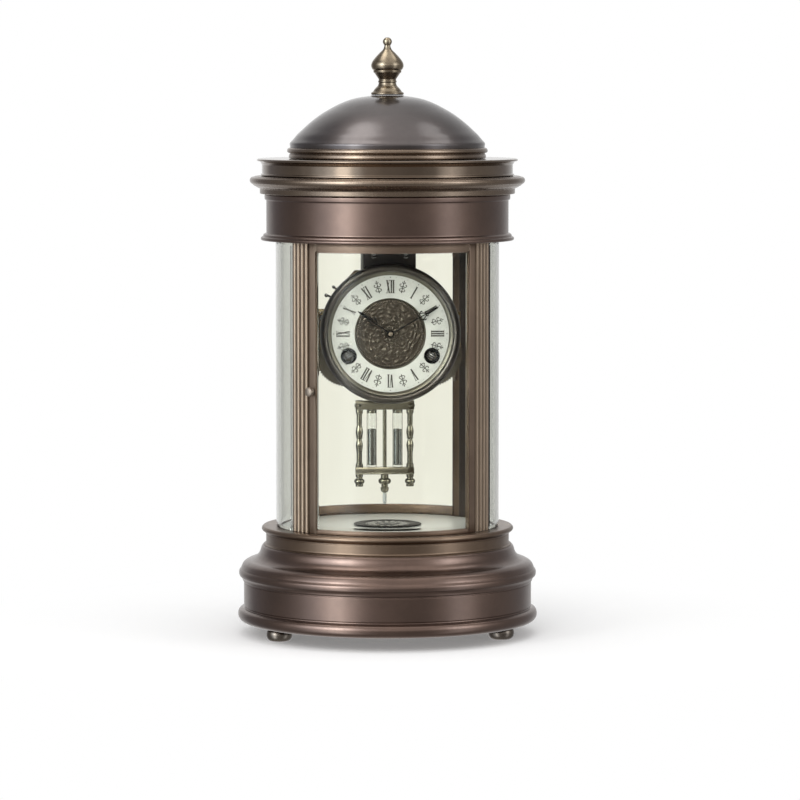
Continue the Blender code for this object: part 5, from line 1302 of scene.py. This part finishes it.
def make_dial_centre():
    """The pressed metal centre: a beaded rim and leaf scrolls, over a flat back."""
    bm = bmesh.new()
    rows = 74
    columns = 360
    inner, outer = 3.3, 26.1
    level, rise, back_level = 35.0, 0.85, 34.4
    radii = [inner + (outer - inner) * row / rows for row in range(rows + 1)]
    rings = [[] for _ in radii]
    for ring, radius in zip(rings, radii):
        for column in range(columns):
            angle = TURN * column / columns
            front = -(level + rise * relief_height(radius, angle)) * MM
            ring.append(bm.verts.new((radius * math.sin(angle) * MM, front, radius * math.cos(angle) * MM)))
    back = [[bm.verts.new((v.co.x, -back_level * MM, v.co.z)) for v in rings[i]] for i in (-1, 0)]
    loops = [*rings, back[0], back[1], rings[0]]
    for near, far in zip(loops, loops[1:]):
        for column in range(columns):
            following = (column + 1) % columns
            bm.faces.new((near[column], near[following], far[following], far[column]))
    mesh = finish_mesh(bm, "relief", 50)
    piece("dial_centre_relief", mesh, RELIEF_BRONZE, ("dial_centre",), place=AT_DIAL)


def make_grommets():
    """A black bush round each winding hole."""
    ring = [(3.3, 33.4), (3.3, 35.4), (3.9, 36.4), (4.4, 36.9, 1), (5.0, 37.1, 1), (5.6, 36.8, 1),
            (6.0, 36.05), (4.8, 36.05), (4.8, 33.4), (3.3, 33.4)]
    bushes = []
    for side in (-1, 1):
        mesh = turned_mesh(ring, HAND_BLACK, 48, 0.12)
        mesh.transform(at_key(side))
        bushes.append(mesh)
    piece("winding_bushes", finish_mesh(joined(*bushes)), HAND_BLACK, body="case")


make_bezel()
make_chapter_ring()
make_numerals()
make_dial_ornaments()
make_dial_centre()
make_grommets()


# Hands

# One side of a hand's openwork: each bar's share of the full width, and its path
TREFOIL = (
    (1.0, ((0.0, -0.6), (1.5, -0.2), (3.1, 0.9), (4.2, 2.4), (5.3, 3.6), (5.0, 4.6), (4.1, 4.3))),
    (1.0, ((3.6, 1.5), (3.5, 3.0), (2.7, 4.6), (1.6, 6.0), (0.6, 7.0), (0.0, 7.8))),
    (0.9, ((1.2, 6.4), (2.1, 6.5), (2.7, 7.2), (2.3, 7.9), (1.6, 7.8))),
)


def make_hand(name, part, length, angle, front, scale, boss, share_of_stem):
    """An openwork hand: a slim stem, a pierced trefoil with barbs and curls, and a spear point."""
    bm = bmesh.new()
    depth = 0.4 * MM
    wire(bm, bow((boss - 0.75) * MM, TURN * 31 / 32, 31), 0.75 * MM, front, depth, closed=True)
    throat = length * share_of_stem

    def spot(x, y):
        return Vector((x * scale * MM, y * MM))

    crown = throat + 6.4 * scale
    stem = [spot(0, y) for y in (boss - 0.5, throat * 0.55, throat, crown)]
    wire(bm, stem, [0.62 * MM, 0.5 * MM, 0.42 * MM, 0.36 * MM], front, depth)
    thin = 0.38 * MM * scale ** 0.5
    for side in (-1, 1):
        for weight, path in TREFOIL:
            line = [spot(side * x * 0.66, throat + y * 0.86 * scale) for x, y in path]
            wire(bm, curve_through(line, 4), thin * weight, front, depth * 0.9)
    stations = (crown - 0.6 * scale, crown + 1.0 * scale, crown + 0.72 * (length - crown), length - 0.2)
    point = [spot(0, y) for y in stations]
    wire(bm, point, [0.40 * MM, 1.16 * MM, 0.86 * MM, 0.16 * MM], front, depth)
    place = AT_DIAL @ Matrix.Rotation(angle, 4, "Y")
    piece(name, finish_mesh(bm, name, 50), HAND_BLACK, (part,), place=place)


MINUTE_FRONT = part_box("minute_hand")[0].y
HOUR_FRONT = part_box("hour_hand")[0].y


def make_minute_pipe():
    """What the minute hand's solid holds behind the hand itself: its pipe and cannon pinion."""
    source = bmesh.new()
    source.from_mesh(frame["nodes"]["minute_hand"].data)
    bmesh.ops.remove_doubles(source, verts=source.verts, dist=SEAM)
    flat = MINUTE_FRONT + 1.25 * MM
    whole = [*source.verts, *source.edges, *source.faces]
    bmesh.ops.bisect_plane(source, geom=whole, plane_co=(0, flat, 0), plane_no=(0, -1, 0), clear_outer=True)
    bmesh.ops.holes_fill(source, edges=source.edges)
    piece("cannon_pipe", finish_mesh(source, "pipe"), WHEEL_BRASS, body="minute_hand")


# A hand's numbers: length, angle, front, the openwork's scale, the boss's radius and the stem's share
make_hand("minute_hand_openwork", "minute_hand", 41.3, MINUTE_ANGLE, MINUTE_FRONT, 1.0, 2.3, 0.59)
make_hand("hour_hand_openwork", "hour_hand", 29.6, HOUR_ANGLE, HOUR_FRONT, 0.95, 2.9, 0.44)
make_minute_pipe()
refined("hour_wheel", WHEEL_BRASS)


def make_hand_nut():
    """The domed nut that holds the minute hand, and the arbor's end in it."""
    depth = -MINUTE_FRONT / MM
    nut = [(0, depth - 0.3), (1.4, depth - 0.3), (1.6, depth), (1.5, depth + 0.35, 1),
           (1.0, depth + 0.62, 1), (0, depth + 0.68)]
    turned("hand_nut", nut, KNOB_GILT, (), 32, AT_DIAL @ FORWARDS, "minute_hand", 0.1)


make_hand_nut()


# Movement


def screws(name, spots, radius, height, facing, body="case", seed=4):
    """Slotted, blued screw heads at places, their undersides there."""
    sign = -1 if facing == "forwards" else 1
    lift = sign * height * 0.35
    points = bpy.data.meshes.new("spots")
    points.from_pydata([(x, y + lift, z) for x, y, z in spots], [], [])
    mesh = by_rule(points, SCREWING, BLUED_STEEL, Head_radius=radius, Head_height=height,
                   Slot_width=radius * 0.28, Turn=(math.radians(-90 * sign), 0.0, 0.0), Seed=seed)
    piece(name, outward(mesh, 35), BLUED_STEEL, body=body)


for part in ("front_plate", "back_plate", "suspension_cock"):
    refined(part, PLATE_BRASS, 0.25 * MM)
refined("movement_bracket", BLACK_IRON, 0.5 * MM)
for part in ("going_barrel", "strike_barrel", "second_wheel", "centre_wheel", "third_wheel", "escape_wheel",
             "minute_wheel"):
    refined(part, WHEEL_BRASS)
for part in ("anchor", "hammer", "going_mainspring", "strike_mainspring", "suspension_spring"):
    refined(part, BLUED_STEEL)
ARBOR_TIP = [(0, 33.8), (1.9, 33.8), (2.1, 34.2), (1.9, 34.9, 1), (1.4, 35.5, 1), (0.7, 35.9, 1), (0, 36.0)]
for part, side in (("going_winding_arbor", 1), ("strike_winding_arbor", -1)):
    refined(part, BLUED_STEEL, 0.2 * MM)
    turned(f"{part}_tip", ARBOR_TIP, BRIGHT_STEEL, (), 32, at_key(side), BODY_OF[part], 0.15)

PLATE_FRONT = -27.5 * MM
PLATE_BACK = 12.5 * MM
PILLAR_SPOTS = [(side * x * MM, z * MM) for x, z in ((24.0, 260.5), (49.7, 239.5)) for side in (-1, 1)]
CORNER_SPOTS = [(side * x * MM, z * MM) for x, z in ((48.6, 222.0), (29.0, 201.5)) for side in (-1, 1)]
BRACKET_SPOTS = [(x * MM, 285.5 * MM) for x in (-12, 12)]
# Head radius and head height are in millimetres
for name, spots, depth, radius, height, facing, seed in (
        ("front_plate_screws", PILLAR_SPOTS + CORNER_SPOTS[:2], PLATE_FRONT, 2.4, 1.2, "forwards", 4),
        ("back_plate_screws", PILLAR_SPOTS + CORNER_SPOTS, PLATE_BACK, 2.4, 1.2, "backwards", 4),
        ("bracket_screws", BRACKET_SPOTS, PLATE_FRONT, 2.1, 1.0, "forwards", 4),
        ("bracket_back_screws", BRACKET_SPOTS, PLATE_BACK, 2.1, 1.0, "backwards", 7)):
    screws(name, [(x, depth, z) for x, z in spots], radius * MM, height * MM, facing, seed=seed)

BELL_PROFILE = [
    (0, 27.1), (14.0, 26.5, 1), (21.0, 24.4, 1), (24.4, 20.3, 1), (26.8, 14.3), (28.0, 14.3), (27.7, 15.2),
    (25.6, 22.5, 1), (21.8, 25.6, 1), (14.0, 27.7, 1), (0, 28.3),
]
turned("bell_dish", BELL_PROFILE, BELL_BRASS, ("bell",), 96, Matrix.Translation(BELL) @ BACKWARDS)
screws("bell_screw", [(BELL.x, 28.3 * MM, BELL.z)], 3.2 * MM, 1.6 * MM, "backwards", seed=9)


def make_levers():
    """The small levers and studs of the striking work that show past the bezel at its upper left."""
    bm = bmesh.new()
    # Places across the dial from its centre, in millimetres
    routes = (((-34.0, 20.0), (-40.0, 24.6), (-45.0, 27.6), (-47.4, 28.2)),
              ((-30.0, 24.0), (-36.0, 30.0), (-40.6, 33.6), (-42.0, 34.4)),
              ((-44.0, 11.0), (-49.0, 13.6), (-52.2, 15.4)))
    for route in routes:
        wire(bm, curve_through([Vector(p) * MM for p in route], 4), 0.75 * MM, -24.6 * MM, 0.7 * MM)
    levers = finish_mesh(bm)
    studs = bmesh.new()
    back = -21.0
    ends = ((-46.8, 28.1, 1.3, -29.0), (-41.4, 34.2, 1.2, -28.5), (-51.6, 15.1, 0.9, -28.5))
    for x, z, radius, front in ends:
        place = Matrix.Translation((x * MM, (front + back) / 2 * MM, z * MM)) @ FORWARDS
        rod(studs, 20, radius * MM, (back - front) * MM, place)
    eased(studs, 0.2 * MM)
    whole = finish_mesh(joined(levers, finish_mesh(studs)))
    piece("strike_levers", whole, BLUED_STEEL, body="case", place=AT_DIAL)


make_levers()


# Pendulum

AT_PENDULUM = Matrix.Translation(PENDULUM)
BAR_REACH = 22.4 * MM
BAR_HALF = 3.5 * MM
ROD = [
    (0, 102.6), (1.15, 102.6), (1.15, 107.3), (2.5, 107.4), (2.7, 107.9), (2.4, 108.4), (2.6, 108.9, 1),
    (3.1, 109.2), (4.3, 110.0, 1), (4.85, 111.6, 1), (4.3, 113.1, 1), (3.2, 113.7), (2.95, 114.1),
    (2.95, 116.5), (1.5, 116.6), (1.5, 257.6), (1.1, 258.0), (0, 258.0),
]
COLUMN = [
    (0, 107.4), (2.7, 107.4), (2.95, 107.7), (2.95, 109.0), (2.4, 109.3), (3.2, 109.7, 1), (4.0, 111.3, 1),
    (3.3, 113.0, 1), (2.3, 113.5), (2.2, 114.3), (2.85, 114.8), (2.85, 124.4), (2.4, 124.9), (2.15, 125.3),
    (2.1, 133.8), (2.3, 134.3), (2.6, 134.6), (2.3, 135.0), (2.5, 136.4, 1), (2.75, 139.2, 1),
    (2.2, 141.8, 1), (1.7, 143.4), (2.0, 143.9), (2.6, 144.1), (2.75, 144.5), (2.2, 144.9), (2.5, 146.2, 1),
    (2.85, 149.0, 1), (2.3, 152.8, 1), (1.75, 154.4), (2.1, 155.0), (2.1, 162.6), (2.6, 163.0),
    (2.8, 163.6), (2.8, 165.7), (0, 165.7),
]
BAR_CAP = [
    (0, 166.0), (2.9, 166.0), (3.2, 166.5, 1), (2.9, 167.0), (2.9, 167.6), (3.6, 168.0), (3.8, 169.0, 1),
    (3.6, 170.2), (3.0, 170.6), (2.9, 171.4), (3.2, 171.8, 1), (3.2, 172.6, 1), (2.6, 173.0), (0, 173.0),
]


def make_bars():
    """The bottom bar with its columns, the top bar with its caps, and the screws behind both."""
    for name, part, low, high, profile in (("bob_frame", "pendulum_frame", 116.8, 122.2, COLUMN),
                                           ("bob_top_bar", "pendulum_top_bar", 166.0, 173.0, BAR_CAP)):
        bm = bmesh.new()
        block(bm, (-BAR_REACH, -BAR_HALF, low * MM), (BAR_REACH, BAR_HALF, high * MM))
        eased(bm, 0.5 * MM)
        parts = [finish_mesh(bm)]
        for side in (-1, 1):
            end = turned_mesh(profile, BOB_BRASS, 36, 0.15)
            end.transform(Matrix.Translation((side * COLUMN_SIDE, 0, 0)))
            parts.append(end)
        piece(name, finish_mesh(joined(*parts)), BOB_BRASS, (part,), place=AT_PENDULUM)
    spots = [(side * COLUMN_SIDE, 39.5 * MM, level * MM) for side in (-1, 1) for level in (119.5, 169.5)]
    screws("bob_screws", spots, 1.5 * MM, 0.6 * MM, "backwards", "pendulum", 3)


def make_jars():
    """Two glass jars with turned caps, and the mercury standing in them."""
    jar = [(0, 122.5), (3.7, 122.5), (4.05, 122.9), (4.05, 165.3), (3.9, 165.7), (3.5, 165.7), (3.5, 123.7),
           (0, 123.7)]
    mercury = [(0, 124.0), (3.0, 124.0), (3.2, 124.2), (3.2, 150.9), (2.6, 151.4, 1), (0, 151.6)]
    cap = [(3.45, 163.4), (3.45, 165.6), (2.9, 165.9), (2.9, 163.2), (3.45, 163.4)]
    for name, side in (("left", -1), ("right", 1)):
        place = Matrix.Translation(PENDULUM + Vector((side * JAR_SIDE, 0, 0)))
        turned(f"jar_{name}", jar, JAR_GLASS, (f"pendulum_jar_{name}",), 40, place, corner=0.2)
        turned(f"mercury_{name}_column", mercury, MERCURY, (f"mercury_{name}",), 40, place, corner=0.2)
        turned(f"jar_collar_{name}", cap, BOB_BRASS, (), 40, place, "pendulum", 0.1)


turned("pendulum_rod_turned", ROD, BOB_BRASS, ("pendulum_rod",), 36, AT_PENDULUM, corner=0.15)
POINTER = [(0, 93.8), (0.8, 94.2, 1), (1.45, 95.4), (1.45, 102.3), (1.2, 102.5), (0, 102.5)]
turned("pendulum_pointer", POINTER, PALE_RELIEF, (), 36, AT_PENDULUM, "pendulum", 0.15)
make_bars()
make_jars()


def make_nut():
    """The rating nut with a ring of flutes for the fingers."""
    nut = [(1.3, 102.9), (1.9, 102.9), (2.3, 103.4, 1), (2.9, 104.3, 1), (3.0, 105.6), (3.0, 106.6),
           (2.6, 107.1), (1.3, 107.2), (1.3, 102.9)]
    body = turned_mesh(nut, BOB_BRASS, 40, 0.2)
    flute = bmesh.new()
    rod(flute, 8, 0.2 * MM, 1.6 * MM, Matrix.Translation((0, 2.95 * MM, 105.9 * MM)))
    ribs = by_rule(finish_mesh(flute), RING_OF, BOB_BRASS, Count=24)
    whole = finish_mesh(joined(body, ribs))
    piece("rating_nut_fluted", whole, BOB_BRASS, ("rating_nut",), place=AT_PENDULUM)


make_nut()
board = frame["nodes"]["base_board"].data.materials
board.clear()
board.append(BASE_WOOD)


# Floor, light and camera

FLOOR_REACH = 2.6
SHADOW_NEAR = 0.14
SHADOW_FAR = 0.36
FLOOR_LIFT = 0.20
FILL = 0.70
ROOM_PEAK = 5.2
# How much brighter the walls in front are a little above the horizon
ABOVE_GAIN = 1.9
# The ceiling and two bright openings in it: (direction, level, cosines of the angles at which each starts
# and is full)
OPENINGS = [
    ((0.067, -0.250, 0.966), 1.25, 0.62, 0.97),
    ((-0.32, 0.04, 0.947), 4.2, 0.955, 0.990),
    ((0.50, 0.20, 0.843), 2.6, 0.975, 0.994),
]
# The room that metal and glass reflect: (degrees from the front, red, green and blue level)
WALLS = [
    (-180, 1.00, 1.00, 1.00), (-156, 0.70, 0.70, 0.70), (-138, 0.30, 0.30, 0.32), (-100, 0.30, 0.30, 0.30),
    (-82, 0.50, 0.52, 0.54), (-66, 1.15, 1.28, 1.42), (-54, 1.85, 2.08, 2.32), (-48, 3.95, 4.25, 4.45),
    (-41, 3.95, 4.25, 4.45), (-34, 1.50, 1.66, 1.82), (-22, 0.56, 0.56, 0.57), (-4, 0.42, 0.42, 0.42),
    (24, 0.32, 0.32, 0.32), (40, 0.42, 0.43, 0.44), (50, 1.20, 1.28, 1.36), (56, 1.75, 1.85, 1.95),
    (62, 1.30, 1.38, 1.46), (76, 0.50, 0.51, 0.52), (94, 0.40, 0.40, 0.40), (130, 0.36, 0.36, 0.37),
    (154, 0.60, 0.60, 0.60), (180, 1.00, 1.00, 1.00),
]
# What they reflect below the horizon: (degrees from the front, level)
GROUND = [(-180, 1.00), (-140, 0.62), (-105, 0.42), (0, 0.42), (105, 0.42), (140, 0.62), (180, 1.00)]
LAMP_AIM = Vector((0, 0, 0.22))
CAMERA_LENS = 184.5
CAMERA_DISTANCE = 3.075
CAMERA_TURN = math.radians(-3.6)
CAMERA_RISE = math.radians(4.5)
AIM_HEIGHT = 176.0 * MM
AIM_SIDE = 9.4 * MM


def seen_rays(tree):
    """1 for what the camera sees, straight on, in metal or through glass."""
    path = node(tree, "ShaderNodeLightPath").outputs
    seen = maths(tree, "MAXIMUM", path["Is Camera Ray"], path["Is Glossy Ray"])
    return maths(tree, "MAXIMUM", seen, path["Is Transmission Ray"])


def mirrored(tree):
    """1 for rays that metal or glass has turned back, also after they pass through a pane."""
    path = node(tree, "ShaderNodeLightPath").outputs
    return times(tree, maths(tree, "MINIMUM", path["Glossy Depth"], 1.0), seen_rays(tree))


def make_floor():
    """A white floor that keeps the clock's shadow and runs out into plain white."""
    bm = bmesh.new()
    bmesh.ops.create_circle(bm, cap_ends=True, segments=96, radius=FLOOR_REACH)
    mesh = bpy.data.meshes.new("studio_floor")
    bm.to_mesh(mesh)
    bm.free()
    made = shown("studio_floor", mesh)
    paint = bpy.data.materials.new("studio_white")
    paint.use_nodes = True
    tree = paint.node_tree
    tree.nodes.remove(tree.nodes["Principled BSDF"])
    axes = object_axes(tree)
    reach = distance_from_axis(tree, axes["X"], axes["Y"])
    matt = node(tree, "ShaderNodeBsdfDiffuse", {"Color": grey(0.80)})
    seen = seen_rays(tree)
    lift = times(tree, seen, FLOOR_LIFT)
    glow = node(tree, "ShaderNodeEmission", {"Color": grey(1.0), "Strength": lift})
    near = node(tree, "ShaderNodeAddShader", {0: matt.outputs[0], 1: glow.outputs[0]})
    plain = node(tree, "ShaderNodeEmission", {"Color": grey(1.0), "Strength": 1.0})
    far = blended(tree, seen, matt.outputs[0], plain.outputs[0])
    both = blended(tree, spread(tree, reach, SHADOW_NEAR, SHADOW_FAR), near.outputs[0], far)
    clear = node(tree, "ShaderNodeBsdfTransparent", {"Color": grey(1.0)})
    all_ways = blended(tree, mirrored(tree), both, clear.outputs[0])
    feed(tree, tree.nodes["Material Output"].inputs["Surface"], all_ways)
    mesh.materials.append(paint)


def make_room():
    """White to the camera and through glass, a pale room with darker sides in metal, even fill elsewhere."""
    world = bpy.data.worlds.new("studio_room")
    world.use_nodes = True
    bpy.context.scene.world = world
    tree = world.node_tree
    tree.nodes.clear()
    way = node(tree, "ShaderNodeTexCoord").outputs["Generated"]
    axes = node(tree, "ShaderNodeSeparateXYZ", {0: way}).outputs
    back = times(tree, axes["Y"], -1.0)
    around = maths(tree, "DIVIDE", maths(tree, "ARCTAN2", axes["X"], back), TURN)
    around = plus(tree, around, 0.5)
    stops = [(turn / 360 + 0.5, (*(level / ROOM_PEAK for level in levels), 1.0)) for turn, *levels in WALLS]
    walls = ramp(tree, around, stops, "EASE")
    stops = [(turn / 360 + 0.5, grey(level / ROOM_PEAK)) for turn, level in GROUND]
    ground = ramp(tree, around, stops, "EASE")
    walls = mixed(tree, spread(tree, axes["Z"], -0.85, -0.45), ground, walls)
    above = minus(tree, spread(tree, axes["Z"], 0.04, 0.22), spread(tree, axes["Z"], 0.40, 0.64))
    above = times(tree, above, spread(tree, back, -0.15, 0.35, 0.0, ABOVE_GAIN))
    gain = plus(tree, above, 1.0)
    walls = node(tree, "ShaderNodeVectorMath", {0: walls, "Scale": gain}, operation="SCALE").outputs[0]
    room = walls
    for towards, level, starts, full in OPENINGS:
        near = node(tree, "ShaderNodeVectorMath", {0: way, 1: towards}, operation="DOT_PRODUCT")
        share = spread(tree, near.outputs["Value"], starts, full)
        room = mixed(tree, share, room, grey(level / ROOM_PEAK))
    fill = node(tree, "ShaderNodeBackground", {"Color": grey(1.0), "Strength": FILL})
    plain = node(tree, "ShaderNodeBackground", {"Color": grey(1.0), "Strength": 1.0})
    dim = node(tree, "ShaderNodeBackground", {"Color": room, "Strength": ROOM_PEAK})
    view = blended(tree, mirrored(tree), plain.outputs[0], dim.outputs[0])
    both = blended(tree, seen_rays(tree), fill.outputs[0], view)
    node(tree, "ShaderNodeOutputWorld", {"Surface": both})


def direction(turn, rise):
    """The way to a place at an angle from the front and one above the floor."""
    return Vector((math.sin(turn) * math.cos(rise), -math.cos(turn) * math.cos(rise), math.sin(rise)))


def lamp(name, turn, rise, distance, width, height, radiance):
    """A soft box that faces the clock, at angles from the front and above the floor."""
    light = bpy.data.lights.new(name, "AREA")
    light.shape = "RECTANGLE"
    light.size = width
    light.size_y = height
    light.energy = radiance * math.pi * width * height
    made = shown(name, light)
    towards = direction(math.radians(turn), math.radians(rise))
    made.location = LAMP_AIM + towards * distance
    made.rotation_mode = "QUATERNION"
    made.rotation_quaternion = towards.to_track_quat("Z", "Y")
    made.visible_camera = False
    made.visible_glossy = False


def make_camera():
    """The photograph's viewpoint: a little to the left and above."""
    data = bpy.data.cameras.new("camera")
    data.lens = CAMERA_LENS
    data.sensor_width = 36.0
    made = shown("camera", data)
    back = direction(CAMERA_TURN, CAMERA_RISE)
    right = Vector((math.cos(CAMERA_TURN), math.sin(CAMERA_TURN), 0.0))
    aim = Vector((0, 0, AIM_HEIGHT)) + right * AIM_SIDE
    made.location = aim + back * CAMERA_DISTANCE
    made.rotation_mode = "QUATERNION"
    made.rotation_quaternion = (-back).to_track_quat("-Z", "Y")
    data.clip_start = 0.1
    data.clip_end = 50.0
    bpy.context.scene.camera = made


make_floor()
make_room()
# A lamp's numbers: degrees from the front and above the floor, distance, width, height and radiance
lamp("left_softbox", -48, 18, 1.9, 0.60, 1.50, 3.2)
lamp("right_softbox", 60, 18, 1.9, 0.50, 1.40, 1.8)
lamp("front_softbox", -12, 30, 2.2, 1.20, 1.20, 3.6)
lamp("top_softbox", 20, 78, 1.7, 1.10, 0.90, 1.2)
make_camera()
bpy.context.scene.view_settings.view_transform = "Standard"
